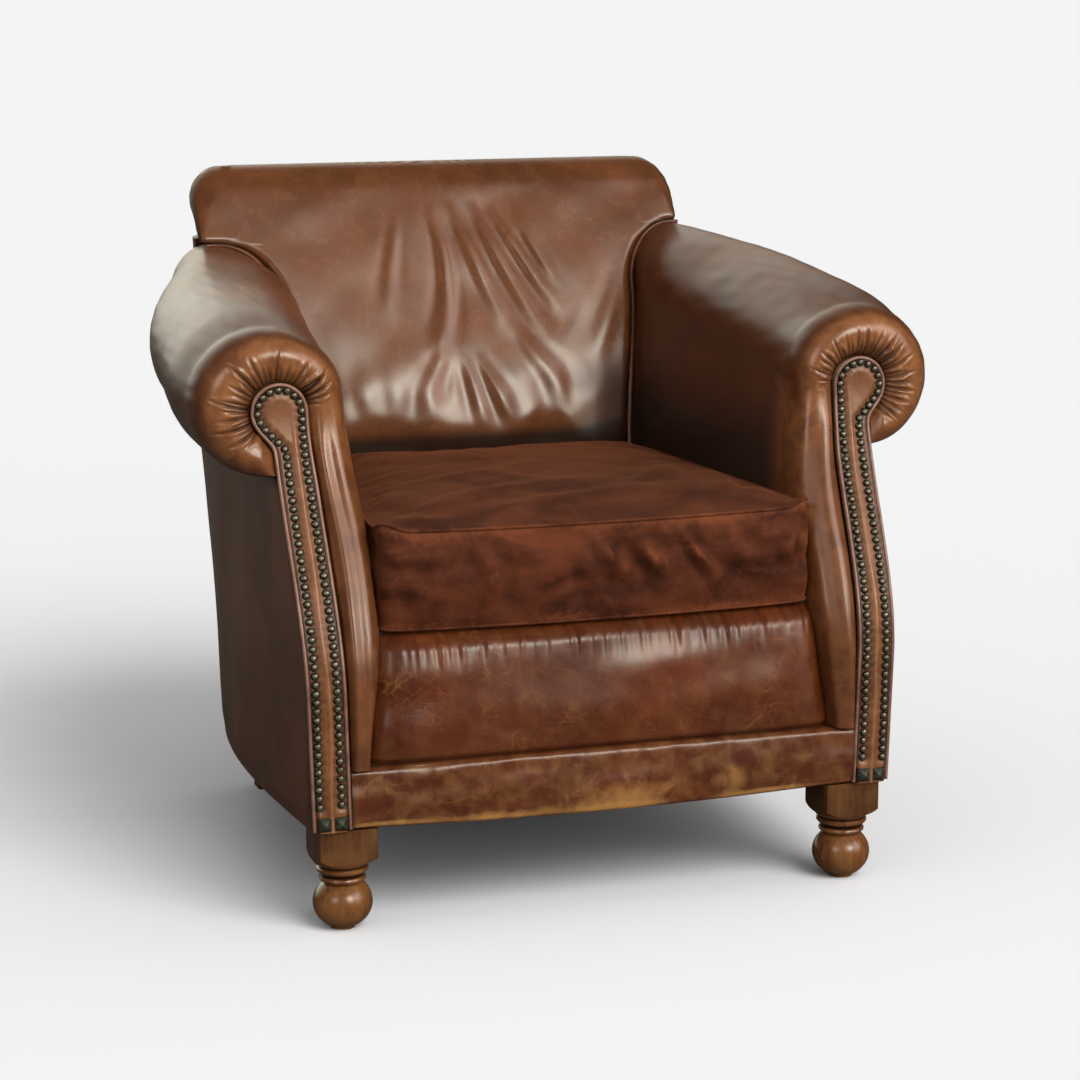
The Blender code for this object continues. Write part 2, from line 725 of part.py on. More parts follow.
def nail_trim():
    """Row of touching domed nails, one thin strip under their heads."""
    line = nail_line()
    verts, faces = [], []
    half, lift = 0.0043, 0.0011
    edges = []
    for k in range(0, len(line), 2):
        a, b = line[max(k - 1, 0)], line[min(k + 1, len(line) - 1)]
        along, across, out = face_frame(a, b)
        x, z = line[k]
        at = (x, rake(z), z)
        rows = []
        for side, up in ((-half, lift), (half, lift), (0.0, 0.0005)):
            rows.append(tuple(at[i] + side * across[i] + up * out[i] for i in range(3)))
        edges.append(add_row(verts, rows))
    for row, k in enumerate(range(1, len(line) - 1, 2)):
        if row + 1 >= len(edges):
            break
        along, across, out = face_frame(line[k - 1], line[k + 1])
        x, z = line[k]
        ring = []
        for s in range(6):
            turn = 2 * math.pi * (s + 0.5) / 6
            c, n = 0.0036 * math.cos(turn), 0.0036 * math.sin(turn)
            ring.append((x + c * along[0] + n * across[0] + 0.0022 * out[0],
                         rake(z) + c * along[1] + n * across[1] + 0.0022 * out[1],
                         z + c * along[2] + n * across[2] + 0.0022 * out[2]))
        dome = add_row(verts, ring)
        top = add_row(verts, [(x, rake(z) + NAIL_HIGH * out[1], z + NAIL_HIGH * out[2])])[0]
        low, high = edges[row], edges[row + 1]
        for s in range(6):
            faces.append((dome[s], dome[(s + 1) % 6], top))
        # dome points 0 and 5 face the next cell, 2 and 3 the last one; 1 is +across, 4 is -across
        faces.append((high[1], dome[0], dome[1]))
        faces.append((high[1], high[0], dome[0]))
        faces.append((high[0], dome[5], dome[0]))
        faces.append((high[0], dome[4], dome[5]))
        faces.append((high[0], low[0], dome[4]))
        faces.append((low[0], dome[3], dome[4]))
        faces.append((low[0], low[1], dome[3]))
        faces.append((low[1], dome[2], dome[3]))
        faces.append((low[1], dome[1], dome[2]))
        faces.append((low[1], high[1], dome[1]))
        faces.append((low[0], high[0], high[2], low[2]))
        faces.append((low[1], high[1], high[2], low[2]))
    faces.append(tuple(edges[0]))
    faces.append(tuple(edges[-1]))
    return verts, faces


def corner_studs():
    """Two pyramid-headed studs side by side on one plate at the foot of the facing."""
    verts, faces = [], []
    z0, z1 = BASE_Z + 0.0015, BASE_Z + 0.0015 + STUD
    columns = [FACE_X - STUD, FACE_X, FACE_X + STUD]
    back = [add_row(verts, [(x, -0.0003, z) for x in columns]) for z in (z0, z1)]
    face = [add_row(verts, [(x, -0.0016, z) for x in columns]) for z in (z0, z1)]
    tips = add_row(verts, [((columns[k] + columns[k + 1]) / 2, -0.0062, (z0 + z1) / 2)
                           for k in range(2)])
    for k in range(2):
        corners = (face[0][k], face[0][k + 1], face[1][k + 1], face[1][k])
        for c in range(4):
            faces.append((corners[c], corners[(c + 1) % 4], tips[k]))
    quads(faces, back[0], back[1])
    for row in range(2):
        quads(faces, back[row], face[row])
    for end in (0, -1):
        faces.append((back[0][end], back[1][end], face[1][end], face[0][end]))
    return verts, faces


# --- feet and frame -----------------------------------------------------------------------------
def foot_profile():
    """Turned profile from the floor up to the shoulder, as (radius, height)."""
    ball_r, ball_z = 0.0335, 0.030
    points = [(0.0135, 0.0)]
    for k in range(1, 7):
        turn = math.radians(mix(-66.0, 52.0, k / 6))
        points.append((ball_r * math.cos(turn), ball_z + ball_z * math.sin(turn)))
    points += [(0.0215, 0.0545), (0.0252, 0.0560), (0.0258, 0.0585), (0.0240, 0.0605),
               (0.0215, 0.0630), (0.0230, 0.0650), (0.0285, 0.0672), (0.0290, 0.0705),
               (0.0270, 0.0735), (0.0300, 0.0760), (0.0325, 0.0860)]
    return points


def turned(name, profile, x, d, sides):
    loops = []
    for radius, z in profile:
        loops.append([(x + radius * math.cos(2 * math.pi * k / sides),
                       d + radius * math.sin(2 * math.pi * k / sides), z) for k in range(sides)])
    verts, faces = loft(loops)
    return finish_object(name, verts, faces, bpy.data.materials["polished_beech"])


def combine(target, cutter, operation):
    """Boolean that is applied at once, so that the cutter can be removed."""
    mod = target.modifiers.new(operation.lower(), "BOOLEAN")
    mod.operation = operation
    mod.object = cutter
    mod.solver = "EXACT"
    depsgraph = bpy.context.evaluated_depsgraph_get()
    mesh = bpy.data.meshes.new_from_object(target.evaluated_get(depsgraph))
    target.modifiers.clear()
    old = target.data
    target.data = mesh
    bpy.data.meshes.remove(old)
    bpy.data.objects.remove(cutter, do_unlink=True)


def front_foot(side):
    """Square block whose lower corners are turned away, then ring, bead and ball."""
    name = "front_foot_" + ("right" if side > 0 else "left")
    x = side * FOOT_X
    foot = turned(name, foot_profile(), x, FOOT_D, FOOT_SIDES)
    verts, faces = block(x - FOOT_BLOCK, x + FOOT_BLOCK, FOOT_D - FOOT_BLOCK,
                         FOOT_D + FOOT_BLOCK, 0.0765, FOOT_TOP)
    square = finish_object(name + "_block", verts, faces, foot.data.materials[0])
    cone = turned(name + "_cone", ((0.0315, 0.0770), (0.0345, 0.0840), (0.0420, 0.0910),
                                   (0.0520, 0.0990), (0.0520, 0.1300)), x, FOOT_D, 16)
    combine(square, cone, "INTERSECT")
    combine(foot, square, "UNION")
    foot.name = name
    foot.data.name = name
    foot.data.shade_smooth()
    foot.data.set_sharp_from_angle(angle=math.radians(35.0))


def back_post():
    """Back post and rear leg in one board: a tapered leg, then a leaning post."""
    loops = []
    kick = 0.012         # the foot stands this far behind the post's line
    for z, half, wide, back in ((0.0, 0.0135, 0.0145, kick), (BASE_Z, POST_HALF, POST_WIDE, 0.0),
                                (POST_TOP, POST_HALF, POST_WIDE, 0.0)):
        d = post_depth(z) + back
        loops.append([(POST_X - wide, d - half, z), (POST_X + wide, d - half, z),
                      (POST_X + wide, d + half, z), (POST_X - wide, d + half, z)])
    return loft(loops)


def back_top_rail():
    low, high = POST_TOP + GAP, LEDGE_Z - 0.0015
    front = post_depth(low) - POST_HALF + 0.006
    return block(-0.292, 0.292, front, front + 0.028, low, high)


def back_lower_rail():
    return block(-POST_X + 0.017, POST_X - 0.017, POST_DEPTH - 0.006, POST_DEPTH + 0.016,
                 FRAME_FOOT_Z, 0.186)


def base_rail():
    """Bottom rail of the arm, from the front post to the back post."""
    start = (0.3175, FACE_THICK + POST_THICK + GAP, 0.1565)
    end = (0.2760, POST_DEPTH - POST_HALF - GAP, 0.1565)
    return bar(start, end, 0.024, 0.062)


def arm_rail():
    """Top rail of the arm, in the hollow under the roll."""
    z = 0.507
    start = (0.3285, rake(z + 0.011) + FACE_THICK + POST_THICK + GAP, z)
    end = (0.2720, arm_end(0.555) - 0.001, 0.566)
    return bar(start, end, 0.030, 0.022)


def seat_side_rail():
    """Side of the seat frame, lying against the inside arm."""
    verts = []
    for d in (FRONT_RAIL_D[1] + GAP, REAR_RAIL_D[0] - GAP):
        for z in (0.240, RAIL_TOP):
            outer = min(arm_inner_at(d, level) for level in (0.240, RAIL_TOP)) - 0.0020
            verts.append((outer, d, z))
            verts.append((outer - SIDE_RAIL_WIDE, d, z))
    faces = [(0, 1, 3, 2), (4, 5, 7, 6), (0, 1, 5, 4), (2, 3, 7, 6), (0, 2, 6, 4), (1, 3, 7, 5)]
    return verts, faces


def corner_block(d_wall, toward):
    """Glued triangular block in a corner of the seat frame, on the front or rear rail."""
    # the side rails run inwards to the rear, so a front block's far corner follows them
    clear, slant = (0.0045, 0.005) if toward > 0 else (0.0020, 0.0)
    x = arm_inner_at(d_wall, 0.27) - SIDE_RAIL_WIDE - 0.0016 - clear
    points = [(x, d_wall + toward * GAP), (x - BLOCK_LEG, d_wall + toward * GAP),
              (x - slant, d_wall + toward * BLOCK_LEG)]
    loops = [[(px, pd, z) for px, pd in points] for z in (0.245, 0.290)]
    return loft(loops)


def strap_seat_long(k):
    x = (k - 2) * 0.078
    low = RAIL_TOP + WEB_TACK
    return block(x - WEB_WIDE / 2, x + WEB_WIDE / 2, FRONT_RAIL_D[0] + 0.002,
                 REAR_RAIL_D[1] - 0.002, low, low + WEB_THICK)


def strap_seat_cross(k):
    d = 0.135 + k * 0.098
    half = arm_inner_at(d + WEB_WIDE / 2, 0.300) - 0.004
    low = RAIL_TOP + 2 * WEB_TACK + WEB_THICK
    return block(-half, half, d - WEB_WIDE / 2, d + WEB_WIDE / 2, low, low + WEB_THICK)


def strap_back(k):
    z = 0.40 + 0.10 * k
    verts = []
    for level in (z - WEB_WIDE / 2, z + WEB_WIDE / 2):
        near = post_depth(level) - POST_HALF - WEB_TACK
        for x in (-POST_X - 0.014, POST_X + 0.014):
            verts.append((x, near - WEB_THICK + 0.0004, level))
            verts.append((x, near, level))
    faces = [(0, 1, 3, 2), (4, 5, 7, 6), (0, 1, 5, 4), (2, 3, 7, 6), (0, 2, 6, 4), (1, 3, 7, 5)]
    return verts, faces


def seat_deck():
    """Firm padded deck that the loose cushion lies on."""
    loops = []
    low = RAIL_TOP + 3 * WEB_TACK + 2 * WEB_THICK
    for z, inset in ((low, 0.0), (CUSHION_Z - 0.010, 0.0), (CUSHION_Z - 0.0006, 0.006)):
        loop = []
        for d in (0.046, 0.456):
            loop.append((d, arm_inner_at(d, 0.32) - 0.003))
        near, far = loop[0], loop[1]
        loops.append([(-near[1] + inset, near[0] + inset, z), (near[1] - inset, near[0] + inset, z),
                      (far[1] - inset, far[0] - inset, z), (-far[1] + inset, far[0] - inset, z)])
    return loft(loops)


def dust_cover():
    """Thin cloth tacked under the rails."""
    points = [(-0.262, 0.055), (0.262, 0.055), (0.226, 0.580), (-0.226, 0.580)]
    high = FRAME_FOOT_Z - WEB_TACK
    return loft([[(x, d, z) for x, d in points] for z in (high - 0.0015, high)])


def make_chair():
    clear_scene()
    leather = material("waxed_leather", LEATHER, 0.35)
    dark = material("dark_leather", DARK_LEATHER, 0.45)
    suede = material("napped_leather", SUEDE, 0.85)
    brass = material("antique_brass", BRASS, 0.40, 1.0)
    beech = material("plain_beech", BEECH, 0.70)
    material("polished_beech", POLISHED, 0.35)
    jute = material("jute_webbing", JUTE, 0.95)
    cloth = material("black_cloth", BLACK_CLOTH, 0.95)

    pair("arm", arm, leather)
    pair("outside_arm", outside_arm, dark)
    finish_object("outside_back", *outside_back(), dark)
    finish_object("inside_back", *inside_back(), leather)
    finish_object("seat_cushion", *seat_cushion(), suede)
    finish_object("front_border", *front_border(), leather)
    finish_object("front_band", *front_band(), leather)
    pair("facing_panel", facing_panel, leather)
    pair("facing_piping", facing_piping, leather)
    pair("nail_trim", nail_trim, brass)
    pair("corner_studs", corner_studs, brass, 20.0)
    pair("back_piping", back_piping, leather)

    for side in (1, -1):
        front_foot(side)
    pair("back_post", back_post, beech)
    pair("front_post", front_post, beech)
    pair("base_rail", base_rail, beech)
    pair("arm_rail", arm_rail, beech)
    pair("seat_side_rail", seat_side_rail, beech)
    pair("corner_block_front", lambda: corner_block(FRONT_RAIL_D[1], 1), beech)
    pair("corner_block_rear", lambda: corner_block(REAR_RAIL_D[0], -1), beech)
    finish_object("front_rail", *block(-0.2535, 0.2535, *FRONT_RAIL_D, FRAME_FOOT_Z, RAIL_TOP), beech)
    half = arm_inner_at(REAR_RAIL_D[1], 0.28) - 0.001
    finish_object("rear_rail", *block(-half, half, *REAR_RAIL_D, 0.240, RAIL_TOP), beech)
    finish_object("back_top_rail", *back_top_rail(), beech)
    finish_object("back_lower_rail", *back_lower_rail(), beech)
    for k in range(5):
        finish_object("seat_strap_long_%d" % (k + 1), *strap_seat_long(k), jute)
    for k in range(4):
        finish_object("seat_strap_cross_%d" % (k + 1), *strap_seat_cross(k), jute)
    for k in range(3):
        finish_object("back_strap_%d" % (k + 1), *strap_back(k), jute)
    finish_object("seat_deck", *seat_deck(), jute)
    finish_object("dust_cover", *dust_cover(), cloth)


make_chair()
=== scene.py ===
"""Worn leather club chair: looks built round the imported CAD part."""

import json
import math

import bmesh
import bpy
import numpy as np
from mathutils.kdtree import KDTree
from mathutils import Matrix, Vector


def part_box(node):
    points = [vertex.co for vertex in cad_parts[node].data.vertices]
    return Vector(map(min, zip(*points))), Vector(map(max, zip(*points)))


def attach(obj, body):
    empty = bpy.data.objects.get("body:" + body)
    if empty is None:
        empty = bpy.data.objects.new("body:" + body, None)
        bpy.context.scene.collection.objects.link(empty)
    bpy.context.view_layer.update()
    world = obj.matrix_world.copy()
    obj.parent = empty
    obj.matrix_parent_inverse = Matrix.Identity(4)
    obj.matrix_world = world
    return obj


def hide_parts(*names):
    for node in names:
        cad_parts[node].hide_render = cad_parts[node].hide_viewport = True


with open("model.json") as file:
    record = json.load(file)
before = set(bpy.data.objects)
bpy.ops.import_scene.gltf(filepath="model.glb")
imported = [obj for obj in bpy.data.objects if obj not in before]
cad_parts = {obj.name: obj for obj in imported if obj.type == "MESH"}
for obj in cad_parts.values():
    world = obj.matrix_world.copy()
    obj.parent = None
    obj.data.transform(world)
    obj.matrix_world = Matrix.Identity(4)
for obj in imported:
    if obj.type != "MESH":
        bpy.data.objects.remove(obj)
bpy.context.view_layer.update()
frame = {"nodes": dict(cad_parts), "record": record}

# --- places read from the CAD frame ---
FRONT_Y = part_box("facing_panel_right")[0].y
BASE_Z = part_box("facing_panel_right")[0].z
BAND_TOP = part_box("front_band")[1].z
BACK_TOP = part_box("inside_back")[1].z
BACK_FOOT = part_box("inside_back")[0].z
CUSHION_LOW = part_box("seat_cushion")[0].z
CUSHION_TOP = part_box("seat_cushion")[1].z
BORDER_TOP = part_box("front_border")[1].z
LEDGE_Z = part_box("outside_back")[1].z

# --- shape of the frame's curves, as the CAD states them ---
RAKE, RAKE_FOOT_Z, RAKE_HEAD_Z = 0.110, 0.27, 0.585
FACE_X, FACE_LEAN = 0.320, 0.031
LOOP_X, LOOP_Z = 0.346, 0.569
RIM_DEPTH = 0.040
ROLL = np.array((
    (0.150, 0.354, 0.577, 0.088, 0.082),
    (0.210, 0.356, 0.588, 0.091, 0.085),
    (0.300, 0.346, 0.601, 0.091, 0.085),
    (0.400, 0.332, 0.614, 0.091, 0.084),
    (0.500, 0.311, 0.630, 0.083, 0.079),
    (0.600, 0.298, 0.640, 0.058, 0.073),
    (0.650, 0.293, 0.642, 0.052, 0.071),
))
ARM_INNER_X, ARM_INNER_TAPER, SEAT_LINE_Z = 0.2545, 0.058, 0.43
BORDER_FOOT_HALF, BORDER_TOP_HALF = 0.272, 0.2555
POST_DEPTH, POST_LEAN = 0.600, 0.132
ARM_STOP = 0.018         # the arm stops this far in front of the back post's middle
REAR_LOW, REAR_LEAN = 0.655, 0.111
SIDE_HALF, SIDE_BOW, SIDE_TAPER, SIDE_LEAN = 0.3415, 0.046, 0.0855, 0.030
CORNER_WRAP, CORNER_R = 0.055, 0.045     # how far the rear panel wraps forward, and its rounding
PANEL_THICK = 0.008

# --- the leather's own shape, a little finer than the CAD's solids ---
FACE_HALF = 0.0182       # half width of the facing's straight foot
LOOP_R = 0.0285          # radius of its round head
NECK_Z = 0.530           # where its outer edge leaves the foot for the head
HEAD_Z, HEAD_RUN = 0.482, 0.080      # where its inner edge swings over to the head
HEAD_TURN = 222.0        # degrees that the edge and the nails run round the head
NAIL_PITCH, NAIL_R, NAIL_LOOP_R = 0.0098, 0.0046, 0.0248
NAIL_X, NAIL_LEAN, NAIL_FOOT_Z = 0.3215, 0.0225, 0.146
NAIL_APART = (0.0125, 0.0107)    # half distance between the rows, at the foot and 0.4 m higher

# Front of the back padding at its middle, up to where its top rounds over: height, depth
BACK_FRONT = np.array((
    (0.3045, 0.474), (0.455, 0.500), (0.560, 0.532), (0.660, 0.577), (0.745, 0.621),
    (0.7965, 0.650),
))
EAR_X, EAR_Z, EAR_R = 0.2725, 0.7515, 0.045
EAR_OUT = {"left": 0.0120, "right": -0.0060}     # one ear is pulled out further than the other
# How far the padding rounds back at its edge: height, reach
BACK_ROUND = ((0.30, 0.013), (0.69, 0.013), (0.705, 0.008), (0.722, 0.009), (0.738, 0.018),
              (0.76, 0.028), (0.7965, 0.030))
CREST_DEPTH = 0.682      # depth of the highest line of the back
ARM_SAG = {"left": 0.006, "right": 0.0}          # how far the arm's rear has sunk
WELD = 1e-6              # points closer than this are one
SEAM_RUN, SEAM_DEEP = 0.889, 0.0105     # where the seam crosses the arm: share of its run, depth


# --- numbers ---
def smooth(t):
    t = np.clip(t, 0.0, 1.0)
    return t * t * (3.0 - 2.0 * t)


def mix(a, b, t):
    return a + (b - a) * t


def hump(t, middle, width):
    return np.exp(-((t - middle) / width) ** 2)


def ease(rows, key):
    """Table values at the keys, carried smoothly from row to row."""
    key = np.clip(np.asarray(key, float), rows[0, 0], rows[-1, 0])
    i = np.clip(np.searchsorted(rows[:, 0], key, side="right") - 1, 0, len(rows) - 2)
    a, b = rows[i], rows[i + 1]
    before, after = rows[np.maximum(i - 1, 0)], rows[np.minimum(i + 2, len(rows) - 1)]
    span = (b[..., 0] - a[..., 0])[..., None]
    t = (key - a[..., 0])[..., None] / span
    slope_a = (b - before) / (b[..., :1] - before[..., :1]) * span
    slope_b = (after - a) / (after[..., :1] - a[..., :1]) * span
    made = ((2 * t**3 - 3 * t**2 + 1) * a + (t**3 - 2 * t**2 + t) * slope_a
            + (3 * t**2 - 2 * t**3) * b + (t**3 - t**2) * slope_b)
    return made[..., 1:]


def curve(points, count=60):
    """Smooth curve through a few points."""
    points = np.array(points, float)
    rows = np.concatenate([np.arange(len(points))[:, None], points], 1)
    return ease(rows, np.linspace(0, len(points) - 1, count))


def drift(points, size, seed, waves=16):
    """Smooth unevenness, about -1 to 1, with features of the given size in metres (one size, or
    one for each axis)."""
    rng = np.random.default_rng(seed)
    size = np.broadcast_to(np.asarray(size, float), (3,))
    turn = rng.normal(size=(waves, 3))
    turn /= np.linalg.norm(turn, axis=1)[:, None]
    turn = turn * rng.uniform(0.6, 1.5, (waves, 1)) * 2 * np.pi / size
    phase = rng.uniform(0, 2 * np.pi, waves)
    total = np.zeros(points.shape[:-1])
    for k in range(waves):
        total += np.cos(points @ turn[k] + phase[k])
    return total / math.sqrt(waves / 2.0) * 0.7


def along(points, steps):
    """Points of a path at the distances that steps() picks for its whole length."""
    run = np.concatenate([[0], np.cumsum(np.linalg.norm(np.diff(points, axis=0), axis=1))])
    at = steps(run[-1])
    return np.stack([np.interp(at, run, column) for column in points.T], -1)


def relax(values, share):
    """Evens out rows of values in place, each towards its neighbours; the end rows stay."""
    values[1:-1] += share * (values[:-2] + values[2:] - 2 * values[1:-1])


def gap_to(points, path):
    """Distance from each 2-D point to a path, and which step of the path is nearest."""
    flat = points.reshape(-1, 2)
    near = np.full(len(flat), 1e9)
    which = np.zeros(len(flat), int)
    for k, spot in enumerate(path):
        far = np.hypot(flat[:, 0] - spot[0], flat[:, 1] - spot[1])
        hit = far < near
        near[hit] = far[hit]
        which[hit] = k
    return near.reshape(points.shape[:-1]), which.reshape(points.shape[:-1])


def rake(z):
    """Depth of the arm fronts, which lean back towards their scrolls."""
    return RAKE * smooth((z - RAKE_FOOT_Z) / (RAKE_HEAD_Z - RAKE_FOOT_Z))


def post_depth(z):
    return POST_DEPTH + POST_LEAN * np.maximum(0.0, z - BASE_Z)


def arm_end(z):
    return post_depth(z) - ARM_STOP


def face_centre(z):
    return FACE_X + FACE_LEAN * (z - BASE_Z)


def rear_depth(z):
    return REAR_LOW + REAR_LEAN * (z - BASE_Z)


def side_x(t, z):
    return SIDE_HALF + SIDE_BOW * t - SIDE_TAPER * t**3 + SIDE_LEAN * (z - BASE_Z)


def arm_section(u, sag=0.0):
    """Centre and radii of the roll; an arm that has sagged is lower and fuller at its rear."""
    section = ease(ROLL, mix(ROLL[0, 0], ROLL[-1, 0], u))
    return section + sag * smooth(u / 0.7)[..., None] * np.array((1.0, -1.0, 1.0, -1.0))


def border_half(z):
    return mix(BORDER_FOOT_HALF, BORDER_TOP_HALF, (z - BAND_TOP) / (BORDER_TOP - BAND_TOP))


def arm_inner_x(u, z, sag=0.0):
    cx, cz, rx, rz = np.moveaxis(arm_section(u, sag), -1, 0)
    plumb = ARM_INNER_X - ARM_INNER_TAPER * u
    low = np.where(z < BORDER_TOP, (border_half(z) - BORDER_TOP_HALF) * (1.0 - u) ** 3, 0.0)
    swell = mix(plumb + low, cx - rx, smooth((z - SEAT_LINE_Z) / (cz - SEAT_LINE_Z)))
    over = cx - rx * np.sqrt(np.clip(1.0 - ((z - cz) / rz) ** 2, 0.0, 1.0))
    return np.where(z > cz, over, swell)


def arm_inner_at(d, z):
    front, back = rake(z) + RIM_DEPTH, arm_end(z)
    return arm_inner_x(np.clip((d - front) / (back - front), 0.0, 1.0), z)


# --- meshes ---
def grid_normals(points):
    """Normals of a grid of points; which way they face depends on how its rows run."""
    along = np.gradient(points, axis=0)
    across = np.gradient(points, axis=1)
    normal = np.cross(along, across)
    return normal / np.maximum(np.linalg.norm(normal, axis=-1, keepdims=True), 1e-12)


def grid_faces(rows, cols, closed, start=0):
    """Faces between neighbouring rows; a closed grid's last column joins its first."""
    r, c = np.meshgrid(np.arange(rows - 1), np.arange(cols if closed else cols - 1), indexing="ij")
    nxt = (c + 1) % cols
    quad = np.stack([r * cols + c, r * cols + nxt, (r + 1) * cols + nxt, (r + 1) * cols + c], -1)
    return (quad.reshape(-1, 4) + start).tolist()


def capped_faces(rows, cols):
    """Faces of a closed tube of rows with both ends filled."""
    faces = grid_faces(rows, cols, True)
    faces.append(list(range(cols)))
    faces.append([(rows - 1) * cols + k for k in range(cols)])
    return faces


def add_object(name, data):
    made = bpy.data.objects.new(name, data)
    bpy.context.collection.objects.link(made)
    return made


def put(piece, verts, faces, marks, side=None):
    """Visible piece from (x, depth, z) points, dressed as PIECES says. Marks are per-vertex
    numbers that the finishes read, such as how much painted shade a point gets. A pair is drawn
    for the right-hand side and mirrored for the left."""
    node_name, slot, mat, sharp, fill = PIECES[piece]
    if side:
        piece, node_name = f"{piece}_{side}", f"{node_name}_{side}"
    verts = np.array(verts, float).reshape(-1, 3)
    verts[:, 1] += FRONT_Y
    if side == "left":
        verts[:, 0] *= -1.0
    mesh = bpy.data.meshes.new(piece)
    mesh.from_pydata(verts.tolist(), [], faces)
    for key, values in marks.items():
        values = np.broadcast_to(np.asarray(values, np.float32).ravel(), len(verts))
        layer = mesh.attributes.new(key, "FLOAT", "POINT")
        layer.data.foreach_set("value", np.clip(values, 0.0, 1.0).astype(np.float32))
    work = bmesh.new()
    work.from_mesh(mesh)
    bmesh.ops.remove_doubles(work, verts=work.verts, dist=WELD)
    bmesh.ops.recalc_face_normals(work, faces=work.faces)
    work.to_mesh(mesh)
    work.free()
    mesh.materials.append(mat)
    mesh.shade_smooth()
    mesh.set_sharp_from_angle(angle=math.radians(sharp))
    made = add_object(piece, mesh)
    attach(made, "root")
    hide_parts(node_name)


def tube_grid(path, radius, sides=10):
    """Round cord along a path of (x, depth, z) points: grid of rows, closed across."""
    path = np.asarray(path, float)
    along = np.gradient(path, axis=0)
    along /= np.linalg.norm(along, axis=1)[:, None]
    u = np.cross(along, np.array((0.0, -1.0, 0.0)))
    u /= np.maximum(np.linalg.norm(u, axis=1)[:, None], 1e-9)
    w = np.cross(along, u)
    turn = np.linspace(0, 2 * np.pi, sides, endpoint=False)
    radius = np.broadcast_to(radius, len(path))
    ring = np.cos(turn)[None, :, None] * u[:, None] + np.sin(turn)[None, :, None] * w[:, None]
    return path[:, None] + ring * radius[:, None, None]


def welt(piece, path, radius, wear_and_highlight, side):
    grid = tube_grid(path, radius)
    put(piece, grid, capped_faces(*grid.shape[:2]), {"shade_and_stain": 0.0, "wear_and_highlight": wear_and_highlight}, side)


# The cushion's cover as cloth: soft, lightly blown up, with 3.5 % more leather than it needs
COVER = {
    "quality": 4, "mass": 0.35, "tension_stiffness": 12.0, "compression_stiffness": 12.0,
    "shear_stiffness": 4.0, "bending_stiffness": 0.4, "use_pressure": True,
    "uniform_pressure_force": 3.0, "shrink_min": -0.035, "vertex_group_mass": "seams",
}
COVER_CELL, COVER_FRAMES, COVER_LIMIT = 0.0075, 20, 0.0045


def read_points(mesh):
    spots = np.zeros(len(mesh.vertices) * 3)
    mesh.vertices.foreach_get("co", spots)
    return spots.reshape(-1, 3)


def settle(points, faces, held):
    """Lets the cushion's cover wrinkle by itself. An even copy of it is blown up as cloth, held
    along its seams; the drawn cover then follows the copy, within the limit."""
    mesh = bpy.data.meshes.new("cover_sketch")
    mesh.from_pydata(points.reshape(-1, 3).tolist(), [], faces)
    sketch = add_object("cover_sketch", mesh)
    even = sketch.modifiers.new("even", "REMESH")
    even.mode = "VOXEL"
    even.voxel_size = COVER_CELL
    seen = bpy.context.evaluated_depsgraph_get()
    sketch.data = bpy.data.meshes.new_from_object(sketch.evaluated_get(seen))
    sketch.modifiers.clear()
    start = read_points(sketch.data)
    group = sketch.vertex_groups.new(name="seams")
    weight = np.round(np.clip(held(start), 0.0, 1.0), 1)
    for level in np.unique(weight):
        group.add(np.nonzero(weight == level)[0].tolist(), float(level), "REPLACE")
    cover = sketch.modifiers.new("cover", "CLOTH")
    for key, value in COVER.items():
        setattr(cover.settings, key, value)
    cover.settings.effector_weights.gravity = 0.0
    cover.collision_settings.use_collision = False
    cover.collision_settings.use_self_collision = False
    cover.point_cache.frame_start = 1
    cover.point_cache.frame_end = COVER_FRAMES
    for step in range(1, COVER_FRAMES + 1):
        bpy.context.scene.frame_set(step)
    seen = bpy.context.evaluated_depsgraph_get()
    move = read_points(sketch.evaluated_get(seen).to_mesh()) - start
    far = np.linalg.norm(move, axis=1)[:, None]
    move = move * (COVER_LIMIT * np.tanh(far / COVER_LIMIT) / np.maximum(far, 1e-9))
    bpy.data.objects.remove(sketch)
    bpy.context.scene.frame_set(1)
    tree = KDTree(len(start))
    for k, spot in enumerate(start):
        tree.insert(spot, k)
    tree.balance()
    flat = points.reshape(-1, 3).copy()
    for k, spot in enumerate(flat):
        found = tree.find_n(spot, 6)
        share = np.array([1.0 / (item[2] + 0.002) for item in found])
        flat[k] += share @ move[[item[1] for item in found]] / share.sum()
    return flat.reshape(points.shape)


# --- finishes ---
def srgb(code):
    """Linear colour of a hex code."""
    parts = [int(code[k:k + 2], 16) / 255.0 for k in (0, 2, 4)]
    return (*(p / 12.92 if p <= 0.04045 else ((p + 0.055) / 1.055) ** 2.4 for p in parts), 1.0)


def plug(tree, made, inputs):
    """Links sockets to a node's inputs, or sets values on them."""
    for key, value in inputs.items():
        if isinstance(value, bpy.types.NodeSocket):
            tree.links.new(value, made.inputs[key])
        else:
            made.inputs[key].default_value = value


def node(tree, kind, inputs, out=0, **settings):
    """Adds one shader node with its settings. Inputs are sockets to link or values to set."""
    made = tree.nodes.new("ShaderNode" + kind)
    for key, value in settings.items():
        setattr(made, key, value)
    plug(tree, made, inputs)
    return made.outputs[out]


def cover_with(tree, tone, colour, amount, low, high, most=1.0):
    """Lays a colour over the tone: none where the amount is low, and most where it is high."""
    share = node(tree, "MapRange", {0: amount, 1: low, 2: high, 4: most})
    return node(tree, "Mix", {0: share, 6: tone, 7: colour}, 2, data_type="RGBA")


def blank(name, *marks):
    """New material with its tree, its shader and the named marks of the mesh."""
    mat = bpy.data.materials.new(name)
    mat.use_nodes = True
    tree = mat.node_tree
    read = [node(tree, "Attribute", {}, "Fac", attribute_name=mark) for mark in marks]
    return (mat, tree, tree.nodes["Principled BSDF"], *read)


